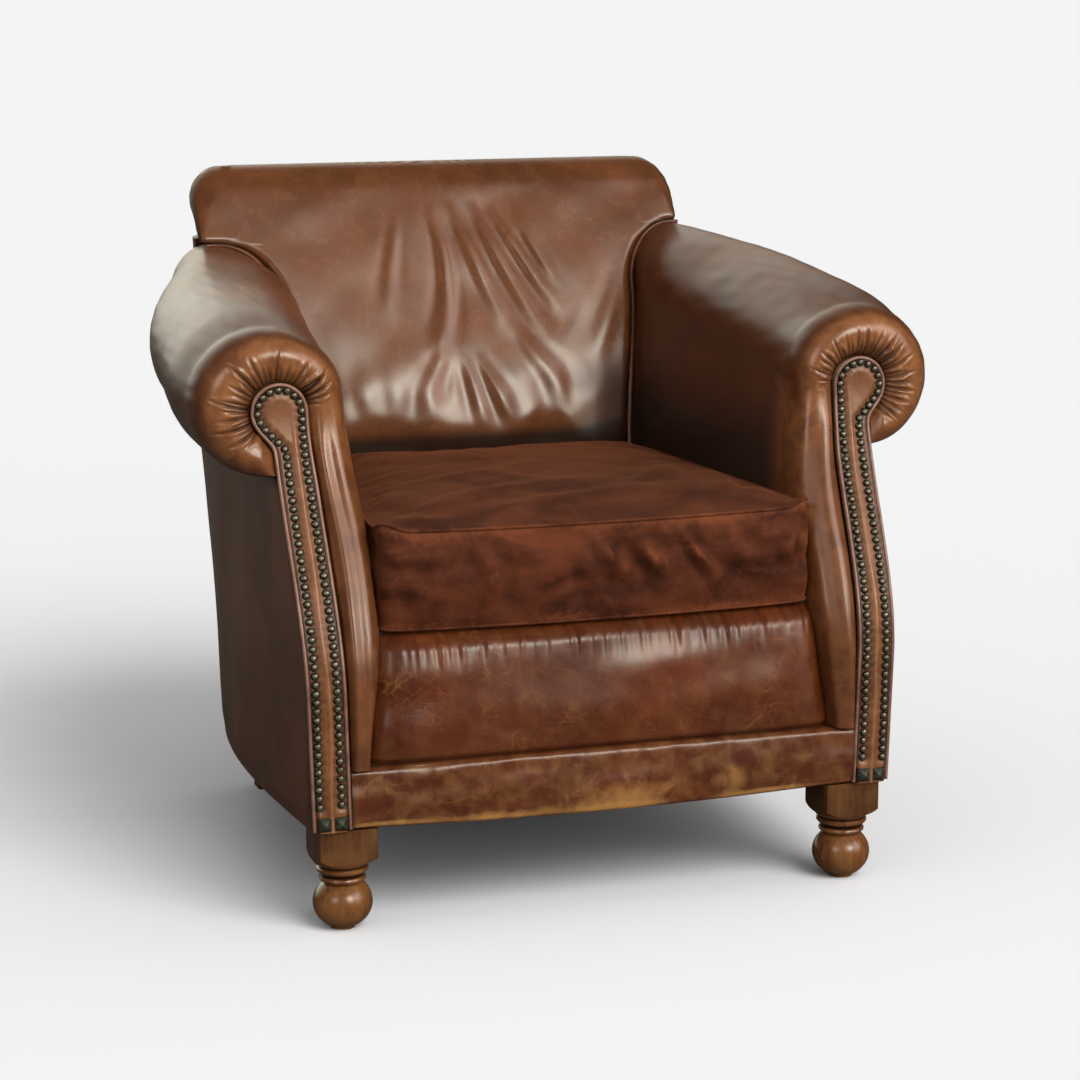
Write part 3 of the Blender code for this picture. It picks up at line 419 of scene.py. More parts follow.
def leather(name, body, shade, worn, rough, coat, scuffs, grain, handled_and_highlight=None):
    """Aniline-dyed and waxed cowhide. Folds, recesses and places under other parts get a
    near-black painted shade; rubbed high spots and edges go to the paler tan underneath, partly as
    painted highlights; the wax leaves a broad soft shine broken up by the pores and by fine
    scratches."""
    mat, tree, skin, fold_shade, rub_and_highlight = blank(name, "shade_and_stain", "wear_and_highlight")
    at = node(tree, "TexCoord", {}, "Object")

    # uneven dye in patches of 140 mm, and cloudy mottling of 26 mm
    patch = node(tree, "TexNoise", {"Vector": at, "Scale": 1 / 0.140, "Detail": 5.0,
                                              "Roughness": 0.6, "Distortion": 0.8})
    mottle = node(tree, "TexNoise", {"Vector": at, "Scale": 1 / 0.026, "Detail": 6.0,
                                               "Roughness": 0.65, "Distortion": 0.4})
    tone = cover_with(tree, srgb(shade), srgb(body), patch, 0.36, 0.66)
    tone = cover_with(tree, tone, srgb(worn), mottle, 0.42, 0.72, 0.26)

    # leather that hands have polished is a warmer tan than the rest of the hide; on the inside's
    # front edge this tan is partly a painted highlight
    if handled_and_highlight:
        front = node(tree, "Attribute", {}, "Fac", attribute_name="front")
        tan = cover_with(tree, srgb(handled_and_highlight[0]), srgb(handled_and_highlight[1]), mottle, 0.35, 0.68)
        tone = node(tree, "Mix", {0: front, 6: tone, 7: tan}, 2, data_type="RGBA")

    # rubbed places, some of them painted highlights: the mark on the mesh, broken up by the
    # mottling
    rubbed_and_highlight = node(tree, "Math", {0: mottle, 1: 1.1, 2: -0.85},
                  operation="MULTIPLY_ADD")
    rubbed_and_highlight = node(tree, "Math", {0: rub_and_highlight, 1: 1.25, 2: rubbed_and_highlight}, operation="MULTIPLY_ADD")
    tone = cover_with(tree, tone, srgb(worn), rubbed_and_highlight, 0.1, 1.0, 0.85)

    # scratches: thin pale lines, drawn out of features of 200 mm in three crossing directions
    marks = None
    for turn, thin, shift in ((0.22, 0.060, 1.7), (-0.60, 0.075, 6.3), (1.05, 0.065, 3.9)):
        lay = node(tree, "Mapping", {
            "Vector": at, "Location": (shift, shift * 2, 0.0),
            "Rotation": (0.2, turn, 0.4 * turn), "Scale": (1.0, thin, thin)},
            vector_type="TEXTURE")
        line = node(tree, "TexNoise", {"Vector": lay, "Scale": 1 / 0.200,
                                                 "Detail": 0.0})
        line = node(tree, "Math", {0: line, 1: 0.5}, operation="SUBTRACT")
        line = node(tree, "Math", {0: line}, operation="ABSOLUTE")
        line = node(tree, "MapRange", {0: line, 1: 0.0, 2: 0.011, 3: 1.0, 4: 0.0})
        if marks:
            line = node(tree, "Math", {0: marks, 1: line}, operation="MAXIMUM")
        marks = line
    where = node(tree, "TexNoise", {"Vector": at, "Scale": 1 / 0.060, "Detail": 3.0})
    where = node(tree, "MapRange", {0: where, 1: 0.44, 2: 0.74, 4: scuffs})
    marks = node(tree, "Math", {0: marks, 1: where}, operation="MULTIPLY")
    tone = node(tree, "Mix", {0: marks, 6: tone, 7: srgb("a06a3c")}, 2,
                data_type="RGBA")

    # painted shade in folds, recesses, joints and under other parts
    tone = cover_with(tree, tone, srgb("150803"), fold_shade, 0.05, 0.9, 0.95)

    # the wax is duller where the hide is mottled, polished where it is rubbed, and never
    # buffed up in the folds
    buffed = [(mottle, 0.16), (rub_and_highlight, -0.05), (fold_shade, 0.28)] + ([(front, -0.11)] if handled_and_highlight else [])
    wax = rough - 0.08
    for part, weight in buffed:
        wax = node(tree, "Math", {0: part, 1: weight, 2: wax},
                   operation="MULTIPLY_ADD")

    # pores 1.1 mm apart, wrinkles of 4 mm and soft unevenness of 14 mm
    pores = node(tree, "TexVoronoi", {"Vector": at, "Scale": 1 / 0.0011})
    wrinkle = node(tree, "TexNoise", {"Vector": at, "Scale": 1 / 0.004, "Detail": 3.0,
                                                "Roughness": 0.6, "Distortion": 1.5})
    relief = node(tree, "TexNoise", {"Vector": at, "Scale": 1 / 0.014, "Detail": 3.0,
                                               "Roughness": 0.55})
    for part, weight in ((pores, 0.30), (wrinkle, 0.40)):
        relief = node(tree, "Math", {0: part, 1: weight, 2: relief},
                      operation="MULTIPLY_ADD")
    bump = node(tree, "Bump", {"Height": relief, "Strength": grain,
                                         "Distance": 0.0006})
    plug(tree, skin, {"Base Color": tone, "Roughness": wax, "Specular IOR Level": 0.5,
                      "Coat Weight": coat, "Coat Roughness": 0.30, "Normal": bump})
    return mat


def napped_leather(name):
    """The same hide with its wax and top surface worn away by sitting. It scatters light like
    suede: no shine, darker and lighter where the nap was brushed, reddish tan on the edges that
    legs rub, partly as a painted highlight, and a near-black painted shade where the mesh marks
    it."""
    mat, tree, skin, fold_shade, rub_and_highlight = blank(name, "shade_and_stain", "wear_and_highlight")
    at = node(tree, "TexCoord", {}, "Object")
    # brushing leaves soft bands of 90 mm, drawn out sideways, and smears of 18 mm
    lay = node(tree, "Mapping", {"Vector": at, "Rotation": (0.0, 0.35, 0.5),
                                           "Scale": (0.6, 1.4, 1.4)})
    band = node(tree, "TexNoise", {"Vector": lay, "Scale": 1 / 0.090, "Detail": 6.0,
                                             "Roughness": 0.55, "Distortion": 1.0})
    smear = node(tree, "TexNoise", {"Vector": at, "Scale": 1 / 0.018, "Detail": 6.0,
                                              "Roughness": 0.7, "Distortion": 0.6})
    rubbed_and_highlight = node(tree, "Math", {0: smear, 1: 1.3, 2: -1.0}, operation="MULTIPLY_ADD")
    rubbed_and_highlight = node(tree, "Math", {0: rub_and_highlight, 1: 1.3, 2: rubbed_and_highlight}, operation="MULTIPLY_ADD")
    tone = cover_with(tree, srgb("32150b"), srgb("5a2d18"), band, 0.38, 0.64)
    tone = cover_with(tree, tone, srgb("673620"), smear, 0.42, 0.75, 0.45)
    tone = cover_with(tree, tone, srgb("80482a"), rubbed_and_highlight, 0.1, 1.1, 0.80)
    # painted shade, near black, where the mesh marks it
    tone = cover_with(tree, tone, srgb("1a0b06"), fold_shade, 0.05, 0.9, 0.85)
    # nap of 1.5 mm over soft dents of 14 mm
    nap = node(tree, "TexNoise", {"Vector": at, "Scale": 1 / 0.0015, "Detail": 2.0})
    dents = node(tree, "TexNoise", {"Vector": at, "Scale": 1 / 0.014, "Detail": 5.0,
                                              "Roughness": 0.6, "Distortion": 0.8})
    relief = node(tree, "Math", {0: nap, 1: 0.25, 2: dents}, operation="MULTIPLY_ADD")
    bump = node(tree, "Bump", {"Height": relief, "Strength": 0.35,
                                         "Distance": 0.0015})
    plug(tree, skin, {"Base Color": tone, "Roughness": 0.75, "Specular IOR Level": 0.20,
                      "Sheen Weight": 0.18, "Sheen Roughness": 0.45,
                      "Sheen Tint": srgb("b8744a"), "Normal": bump})
    return mat


def aged_brass(name, dark, pale, rough=0.38):
    """Pressed brass with a brown-green antique finish. The finish stays dark in the hollows and
    round the rims and is rubbed paler on the crowns, which catch a small soft light."""
    mat, tree, skin, rub_and_highlight = blank(name, "wear_and_highlight")
    at = node(tree, "TexCoord", {}, "Object")
    # tarnish spots of 2.5 mm
    spot = node(tree, "TexNoise", {"Vector": at, "Scale": 1 / 0.0025, "Detail": 3.0})
    bright = node(tree, "Math", {0: spot, 1: 0.9, 2: -0.80}, operation="MULTIPLY_ADD")
    bright = node(tree, "Math", {0: rub_and_highlight, 1: 1.1, 2: bright}, operation="MULTIPLY_ADD")
    tone = cover_with(tree, srgb(dark), srgb(pale), bright, 0.0, 0.9)
    dull = node(tree, "MapRange", {0: spot, 1: 0.3, 2: 0.7, 3: rough + 0.08,
                                             4: rough - 0.06})
    bump = node(tree, "Bump", {"Height": spot, "Strength": 0.25, "Distance": 0.0005})
    plug(tree, skin, {"Base Color": tone, "Metallic": 0.80, "Roughness": dull, "Normal": bump})
    return mat


def polished_wood(name):
    """Turned beech, stained brown and polished: fine upright grain under a clear shine, with
    stain gathered in the grooves."""
    mat, tree, skin, groove = blank(name, "shade_and_stain")
    at = node(tree, "TexCoord", {}, "Object")
    # fibres 4 mm wide and 38 mm long, over cloudy stain of 33 mm
    lay = node(tree, "Mapping", {"Vector": at, "Scale": (9.0, 9.0, 1.0)})
    fibre = node(tree, "TexNoise", {"Vector": lay, "Scale": 1 / 0.038, "Detail": 5.0,
                                              "Roughness": 0.6, "Distortion": 0.4})
    cloud = node(tree, "TexNoise", {"Vector": at, "Scale": 1 / 0.033, "Detail": 3.0})
    tone = cover_with(tree, srgb("4c2a13"), srgb("774a26"), fibre, 0.30, 0.72)
    tone = cover_with(tree, tone, srgb("8c6034"), cloud, 0.40, 0.70, 0.6)
    tone = cover_with(tree, tone, srgb("140904"), groove, 0.1, 0.9, 0.92)
    bump = node(tree, "Bump", {"Height": fibre, "Strength": 0.10,
                                         "Distance": 0.0006})
    plug(tree, skin, {"Base Color": tone, "Roughness": 0.30, "Coat Weight": 0.35,
                      "Coat Roughness": 0.18, "Normal": bump})
    return mat


def unseen_stuff(name, dark, pale, size, lay_scale=(1.0, 1.0, 1.0), rough=0.85):
    """Sawn frame wood, jute webbing and black lining cloth, as they come and never finished: a
    matt surface whose grain or weave, of the given size in metres, is all that shows."""
    mat, tree, skin = blank(name)
    at = node(tree, "TexCoord", {}, "Object")
    lay = node(tree, "Mapping", {"Vector": at, "Scale": lay_scale})
    grain = node(tree, "TexNoise", {"Vector": lay, "Scale": 1 / size, "Detail": 5.0,
                                              "Roughness": 0.6, "Distortion": 0.3})
    tone = cover_with(tree, srgb(dark), srgb(pale), grain, 0.35, 0.68)
    bump = node(tree, "Bump", {"Height": grain, "Strength": 0.2, "Distance": 0.0008})
    plug(tree, skin, {"Base Color": tone, "Roughness": rough, "Normal": bump})
    return mat


ARM_HIDE = leather("arm_leather", "562c16", "3d1c0d", "74421f", 0.38, 0.35, 0.20, 0.20,
                   handled_and_highlight=("663b1f", "8c5a33"))
BACK_HIDE = leather("back_leather", "60361b", "4b2812", "7a4a2a", 0.27, 0.40, 0.10, 0.16)
FRONT_HIDE = leather("front_leather", "56270f", "401a09", "80502a", 0.32, 0.25, 0.40, 0.14)
SIDE_HIDE = leather("side_leather", "5e311a", "432010", "754325", 0.42, 0.30, 0.15, 0.22)
FACING_HIDE = leather("facing_leather", "704526", "5c361b", "a0704c", 0.38, 0.20, 0.10, 0.30)
WELT_HIDE = leather("welt_leather", "75503f", "5e3c30", "a07c6c", 0.36, 0.20, 0.0, 0.20)
BACK_WELT_HIDE = leather("back_welt_leather", "5a3019", "40200f", "7a4a2e", 0.40, 0.15, 0.0,
                         0.20)
BAND_HIDE = leather("band_leather", "562914", "421c0c", "a97a44", 0.32, 0.25, 0.36, 0.30)
CUSHION_HIDE = napped_leather("napped_leather")
BRASS = aged_brass("antique_brass", "1b160d", "8f8a76")
STUD_METAL = aged_brass("stud_metal", "141a14", "6d7263", 0.46)
TURNED_WOOD = polished_wood("polished_beech")
FRAME_WOOD = unseen_stuff("plain_beech", "8a6a45", "b8946a", 0.017, (1.0, 6.0, 6.0))
LEG_WOOD = unseen_stuff("stained_leg", "2a160b", "4a2a14", 0.017, (9.0, 9.0, 1.0), 0.45)
JUTE = unseen_stuff("jute_webbing", "7a6242", "a88c62", 0.002)
LINING = unseen_stuff("black_cloth", "0c0c0c", "1e1e1e", 0.0017, rough=0.95)

# Visible pieces: the CAD node that each stands in for, its material slot and finish, the angle
# in degrees from which its edges stay sharp, and how full of padding it is
PIECES = {
    "arm_skin": ("arm", "waxed_leather", ARM_HIDE, 50.0, 0.9),
    "facing_skin": ("facing_panel", "waxed_leather", FACING_HIDE, 50.0, None),
    "welt": ("facing_piping", "waxed_leather", WELT_HIDE, 50.0, None),
    "nails": ("nail_trim", "antique_brass", BRASS, 50.0, None),
    "studs": ("corner_studs", "antique_brass", STUD_METAL, 20.0, None),
    "side_skin": ("outside_arm", "dark_leather", SIDE_HIDE, 50.0, None),
    "back_welt": ("back_piping", "waxed_leather", BACK_WELT_HIDE, 50.0, None),
    "foot": ("front_foot", "polished_beech", TURNED_WOOD, 32.0, None),
    "back_skin": ("inside_back", "waxed_leather", BACK_HIDE, 60.0, 0.8),
    "cushion_skin": ("seat_cushion", "napped_leather", CUSHION_HIDE, 70.0, 0.8),
    "cushion_welt_top": ("seat_cushion", "napped_leather", CUSHION_HIDE, 50.0, None),
    "cushion_welt_low": ("seat_cushion", "napped_leather", CUSHION_HIDE, 50.0, None),
    "border_skin": ("front_border", "waxed_leather", FRONT_HIDE, 50.0, 0.85),
    "band_skin": ("front_band", "waxed_leather", BAND_HIDE, 50.0, None),
    "rear_skin": ("outside_back", "dark_leather", SIDE_HIDE, 50.0, None),
}


# --- arms ---
STEM_N, ROLL_N = 110, 440        # points up the arm's inside, and round its roll
STEM_FOOT = BAND_TOP + 0.0005
KEY_TURN, ROLL_TURN = 225.0, 271.0       # degrees round the facing's head, and round the roll
# Gathers of each scroll, from its inner side over the top to below its outer side: the angle
# round the facing's head in degrees, how far out it runs (0 to 1), and how deep it is pulled
GATHERS = {
    "left": (
        (168, 0.40, 0.5), (161, 0.62, 0.8), (153, 0.80, 1.3), (145, 0.86, 1.4), (137, 0.72, 1.1),
        (128, 0.45, 0.7), (119, 0.78, 0.8), (110, 0.40, 0.6), (102, 0.50, 0.7), (93, 0.42, 0.6),
        (85, 0.72, 0.9), (76, 0.44, 0.7), (68, 0.48, 0.7), (60, 0.80, 0.9), (52, 0.46, 0.8),
        (44, 0.86, 1.2), (37, 0.52, 0.9), (30, 0.60, 0.9), (22, 0.44, 0.9), (14, 0.70, 1.0),
        (7, 0.86, 1.2), (1, 0.62, 0.9), (-5, 0.74, 1.1), (-12, 0.50, 0.9), (-19, 0.92, 1.3),
        (-26, 0.56, 0.9), (-33, 0.84, 1.1), (-40, 0.50, 0.8)),
    "right": (
        (186, 0.40, 0.3), (179, 0.62, 0.4), (172, 0.50, 0.5), (164, 0.74, 0.7), (157, 0.56, 0.7),
        (149, 0.62, 0.8), (142, 0.70, 1.0), (134, 0.50, 0.8), (127, 0.62, 1.0), (119, 0.48, 0.9),
        (112, 0.58, 0.9), (104, 0.50, 0.8), (97, 0.66, 1.0), (90, 0.48, 0.9), (82, 0.70, 1.0),
        (75, 0.50, 0.8), (68, 0.64, 1.0), (60, 0.50, 0.9), (53, 0.74, 1.1), (45, 0.52, 0.9),
        (38, 0.66, 1.1), (30, 0.50, 0.9), (23, 0.72, 1.1), (15, 0.52, 0.9), (8, 0.66, 1.0),
        (0, 0.54, 1.0), (-8, 0.74, 1.1), (-16, 0.56, 1.0), (-24, 0.70, 1.1), (-33, 0.60, 1.0),
        (-42, 0.72, 1.1), (-52, 0.60, 0.9)),
}
# Upright ridges of each column: how far from the rim to the welt, half width, height in metres
RIDGES = {
    "left": ((0.75, 0.120, 0.0034), (0.38, 0.130, 0.0028)),
    "right": ((0.72, 0.190, 0.0034), (0.22, 0.110, 0.0020)),
}


def facing_inner(z, grow):
    """Inner edge of the facing, which swings over to its round head, and grows by an offset."""
    edge = face_centre(z) - FACE_HALF - grow
    return mix(edge, LOOP_X - LOOP_R - grow, smooth((z - HEAD_Z) / HEAD_RUN))


def key_curve(grow):
    """Edge of the facing from its inner foot, up and round its head to the neck, as (x, z)."""
    z = mix(STEM_FOOT, LOOP_Z, np.arange(STEM_N) / STEM_N)
    q = np.linspace(0, 1, ROLL_N)
    turn = np.pi - np.radians(KEY_TURN) * np.minimum(q / 0.93, 1.0)
    radius = LOOP_R + grow
    tail = smooth((q - 0.93) / 0.07)
    lx = mix(LOOP_X + radius * np.cos(turn), face_centre(NECK_Z) + FACE_HALF + grow, tail)
    lz = mix(LOOP_Z + radius * np.sin(turn), NECK_Z - 0.004, tail)
    return np.concatenate([facing_inner(z, grow), lx]), np.concatenate([z, lz])


def arm_outline(u, sag):
    """Skin of the arm at each u, from the inner foot over the roll to its underside."""
    u = np.asarray(u, float)[:, None]
    cx, cz, rx, rz = np.moveaxis(arm_section(u, sag), -1, 0)
    z = mix(STEM_FOOT, cz, np.arange(STEM_N)[None] / STEM_N)
    x = arm_inner_x(u + 0 * z, z, sag)
    turn = np.pi - np.radians(ROLL_TURN) * np.linspace(0, 1, ROLL_N)[None]
    return (np.concatenate([x, cx + rx * np.cos(turn)], 1),
            np.concatenate([z, cz + rz * np.sin(turn)], 1))


def pulled_gathers(skin, share, side, seed):
    """Depth of the gathers round the scroll: each is a valley that starts at the welt and dies
    out on the way to the rim, with the leather puffed up on both sides of it."""
    rng = np.random.default_rng(seed)
    away = skin[..., (0, 2)] - (LOOP_X, LOOP_Z)
    radius = np.hypot(away[..., 0], away[..., 1])
    angle = np.degrees(np.arctan2(away[..., 1], away[..., 0]))
    angle = np.where(angle < -100.0, angle + 360.0, angle)
    depth, dark = np.zeros(angle.shape), np.zeros(angle.shape)
    out = 1.0 - share
    for at, reach, pull in GATHERS[side]:
        swirl = rng.uniform(-7.0, 7.0)
        gap = np.radians(angle - at - swirl * out) * radius
        left = np.clip(1.0 - out / reach, 0.0, 1.0)
        fade = smooth(left * 1.6) * smooth((1.004 - share) / 0.012)
        wide = 0.0011 + 0.0017 * left
        valley = np.exp(-np.abs(gap / wide) ** 1.4)
        puff = np.exp(-((np.abs(gap) - 2.1 * wide) / (1.5 * wide)) ** 2)
        depth += pull * fade * (0.0021 * valley - 0.0009 * puff)
        # painted shade down each valley
        dark += pull * fade * 0.75 * np.exp(-np.abs(gap / (wide * 0.8)) ** 1.6)
    return depth, np.clip(dark, 0, 1)


# The arm's front pad runs from the roll's rim in to the facing's welt. The first PAD_BEND of its
# rows round off the rim and come PAD_IN of the way; PAD_FLAT and PAD_LEFT are what is left
CAP_ROWS, BODY_ROWS = 84, 84
PAD_BEND, PAD_FLAT = 0.55, 0.45
PAD_IN, PAD_LEFT = 0.56, 0.44
PAD_PROUD, PAD_SINK = 0.0055, 0.0125     # how far it stands out, and sinks again to the welt
PAD_WELT_ROOM, PAD_TUCK_ROOM, PAD_TUCK = 0.0048, 0.0015, 0.0105


def arm_front(rim_x, rim_z):
    """Front pad of the arm, with how far in each row is."""
    kx, kz = key_curve(PAD_WELT_ROOM)
    v = np.linspace(0, 1, CAP_ROWS)
    bend = np.minimum(v / PAD_BEND, 1.0) * np.pi / 2
    share = np.where(v < PAD_BEND, PAD_IN * (1 - np.cos(bend)),
                     PAD_IN + PAD_LEFT * (v - PAD_BEND) / PAD_FLAT)
    top = np.where(v < PAD_BEND, RIM_DEPTH - (RIM_DEPTH + PAD_PROUD) * np.sin(bend),
                   -PAD_PROUD + PAD_SINK * np.clip((v - PAD_BEND) / PAD_FLAT, 0, 1) ** 3)
    # the roll's underside ends behind the facing
    tail = smooth((1.0 - np.concatenate([np.zeros(STEM_N), np.linspace(0, 1, ROLL_N)])) / 0.06)
    cap = np.zeros((CAP_ROWS, STEM_N + ROLL_N, 3))
    cap[..., 0] = mix(rim_x[None], kx[None], share[:, None])
    cap[..., 2] = mix(rim_z[None], kz[None], share[:, None])
    depth = mix(np.maximum(top, 0.0062)[:, None], top[:, None], tail[None])
    cap[..., 1] = rake(cap[..., 2]) + depth
    return cap, share


def arm_body(sag):
    """Arm from its rim to the back, with how far back each row is."""
    u = np.linspace(0, 1, BODY_ROWS)[1:]
    bx, bz = arm_outline(u, sag)
    body = np.stack([bx, mix(rake(bz) + RIM_DEPTH, arm_end(bz), u[:, None]), bz], -1)
    # a flat end closes the roll against the rear panel
    hub_x, hub_z = arm_section(np.array(1.0), sag)[:2]
    hub = np.array([hub_x, arm_end(hub_z), hub_z])
    body = np.concatenate([body, [mix(body[-1], hub, share) for share in (0.03, 0.5, 0.995)]])
    return body, np.concatenate([u, np.ones(3)])


def arm(side, seed):
    sag = ARM_SAG[side]
    cap, share = arm_front(*(a[0] for a in arm_outline([0.0], sag)))
    body, u = arm_body(sag)
    skin = np.concatenate([cap[::-1], body])
    normal = grid_normals(skin)
    if normal[CAP_ROWS // 2, STEM_N + ROLL_N // 2, 1] > 0:
        normal = -normal

    s = np.concatenate([share[::-1], np.zeros(len(u))])[:, None]
    stem = np.concatenate([1.0 - smooth((np.arange(STEM_N) / STEM_N - 0.84) / 0.16),
                           np.zeros(ROLL_N)])
    valley, dark = pulled_gathers(skin, s + 0 * skin[..., 0], side, seed)
    lift, shade_and_stain = -valley, dark
    # the column's leather is drawn in upright ridges beside the facing
    wander = 0.04 * drift(skin * (0, 0, 1), 0.16, seed + 4)
    for at, wide, high in RIDGES[side]:
        lift = lift + stem[None] * high * hump(s + wander, at, wide)
    lift = lift - stem[None] * 0.0016 * hump(s, 0.985, 0.030)
    # painted shade in the groove beside the welt
    shade_and_stain = shade_and_stain + stem[None] * 0.7 * hump(s, 1.0, 0.018)
    # the padding is a little uneven, with a few soft pulls on the inside
    behind = 1 - smooth(s / 0.3)
    lift = lift + behind * 0.0007 * drift(skin, (0.11, 0.16, 0.11), seed + 9)
    lift = lift + behind * 0.00018 * drift(skin, (0.022, 0.060, 0.022), seed + 10)
    skin = skin + normal * lift[..., None]

    # the last ring tucks in behind the welt and is in full painted shade
    tx, tz = key_curve(PAD_TUCK_ROOM)
    skin = np.concatenate([np.stack([tx, rake(tz) + PAD_TUCK, tz], -1)[None], skin])
    shade_and_stain = np.concatenate([shade_and_stain[:1] * 0 + 1.0, shade_and_stain])
    inward = np.concatenate([s[:1], s])
    front = smooth((inward - 0.01) / 0.16) * np.ones_like(shade_and_stain)
    low = smooth((0.34 - skin[..., 2]) / 0.10)
    # painted shade on the inside, down beside the cushion
    inner = np.arange(skin.shape[1])[None] < STEM_N
    run = np.concatenate([np.zeros(CAP_ROWS + 1), u])[:, None]
    shade_and_stain = shade_and_stain + 0.95 * inner * smooth((run - 0.02) / 0.09) * smooth(
        (0.585 - skin[..., 2]) / 0.11)
    # the inside's front edge is polished as the front is, and its paler tan is partly a painted
    # highlight on its rounding; the rim is less polished and partly in painted shade where it
    # turns away, and the column is less polished
    front = np.maximum(front, inner * (1 - smooth(run / 0.07)))
    wear_and_highlight = 0.34 * front * (1 - 0.4 * low) + 0.15 * hump(skin[..., 2], 0.65, 0.05) * (1 - front)
    rim = hump(inward, 0.10, 0.10) * smooth((skin[..., 2] - 0.52) / 0.04)
    column = 0.60 * smooth((0.57 - skin[..., 2]) / 0.10)
    front = front * (1 - 0.8 * rim) * (1 - column)
    put("arm_skin", skin, grid_faces(*skin.shape[:2], False),
        {"shade_and_stain": shade_and_stain, "wear_and_highlight": wear_and_highlight - 0.25 * rim, "front": front}, side)


# --- facings, welts and nails ---
def facing_outline(grow, low):
    """Whole edge of the facing from inner foot to outer foot, evenly stepped, as (x, z)."""
    z = np.linspace(low, LOOP_Z, 150)
    turn = np.pi - np.radians(HEAD_TURN) * np.linspace(0, 1, 90)[1:]
    lx = LOOP_X + (LOOP_R + grow) * np.cos(turn)
    lz = LOOP_Z + (LOOP_R + grow) * np.sin(turn)
    oz = np.linspace(NECK_Z + grow * 0.3, low, 150)
    ox = face_centre(oz) + FACE_HALF + grow
    edge = np.stack([np.concatenate([facing_inner(z, grow), lx, ox]),
                     np.concatenate([z, lz, oz])], -1)
    edge = along(edge, lambda run: np.linspace(0, run, 520))
    # the neck between the round head and the straight foot is one soft curve
    for _ in range(14):
        relax(edge, 0.25)
    return edge.T


def nail_line(z):
    """Middle between the two rows of nails."""
    return NAIL_X + NAIL_LEAN * (z - BASE_Z)


def nail_reach(z):
    return mix(*NAIL_APART, (z - BASE_Z) / 0.4)


def nail_centres():
    """Centres along the close-nailed row: up the inner side, round the head, down the outer."""
    z = np.linspace(NAIL_FOOT_Z, LOOP_Z, 200)
    inner = mix(nail_line(z) - nail_reach(z), LOOP_X - NAIL_LOOP_R, smooth((z - 0.48) / 0.08))
    turn = np.pi - np.radians(HEAD_TURN) * np.linspace(0, 1, 120)[1:]
    oz = np.linspace(NECK_Z - 0.002, NAIL_FOOT_Z, 200)
    x = np.concatenate([inner, LOOP_X + NAIL_LOOP_R * np.cos(turn),
                        nail_line(oz) + nail_reach(oz)])
    z = np.concatenate([z, LOOP_Z + NAIL_LOOP_R * np.sin(turn), oz])
    return along(np.stack([x, rake(z), z], -1),
                 lambda run: np.arange(NAIL_PITCH / 2, run, NAIL_PITCH))


def facing_panel(side, seed):
    """Leather-covered board: low padding between the nails, with a narrow ridge where the
    leather is stretched down its middle."""
    x, z = facing_outline(-0.0004, BASE_Z)
    half = len(x) // 2
    left = np.stack([x[:half], z[:half]], -1)
    right = np.stack([x[half:][::-1], z[half:][::-1]], -1)
    w = np.linspace(0, 1, 33)
    face = mix(left[:, None], right[:, None], w[None, :, None])
    off, _ = gap_to(face, np.stack([x, z], -1))
    from_nails, _ = gap_to(face, nail_centres()[:, (0, 2)])
    point = np.stack([face[..., 0], rake(face[..., 1]), face[..., 1]], -1)
    rise = 0.0022 * smooth((from_nails - 0.003) / 0.0075)
    line = nail_line(face[..., 1]) + 0.0010 * drift(point, (1, 1, 0.12), seed)
    ridge = hump(face[..., 0], line - 0.0010, 0.0021) * smooth((0.575 - face[..., 1]) / 0.05)
    rise += 0.0013 * ridge
    rise *= smooth(off / 0.004)
    point[..., 1] -= rise
    rim = point[:, [0, -1]]
    rows = np.concatenate([rim[:, :1] + (0, 0.0110, 0), point, rim[:, 1:] + (0, 0.0110, 0)], 1)
    shade_and_stain, wear_and_highlight = np.zeros(rows.shape[:2]), np.zeros(rows.shape[:2])
    # painted shade along the edge by the welt and in the gaps round the nails; the ridge down the
    # middle is paler, partly wear and partly a painted highlight
    shade_and_stain[:, 1:-1] = 0.60 * hump(off, 0.0006, 0.0014) + 0.95 * hump(from_nails, 0.0, 0.0056)
    wear_and_highlight[:, 1:-1] = 0.30 + 0.35 * ridge
    put("facing_skin", rows, grid_faces(*rows.shape[:2], True),
        {"shade_and_stain": shade_and_stain, "wear_and_highlight": wear_and_highlight}, side)


def facing_welt(side):
    x, z = facing_outline(0.0022, BASE_Z + 0.002)
    path = np.stack([x, rake(z) + 0.0006, z], -1)
    welt("welt", path, 0.0021, 0.5, side)


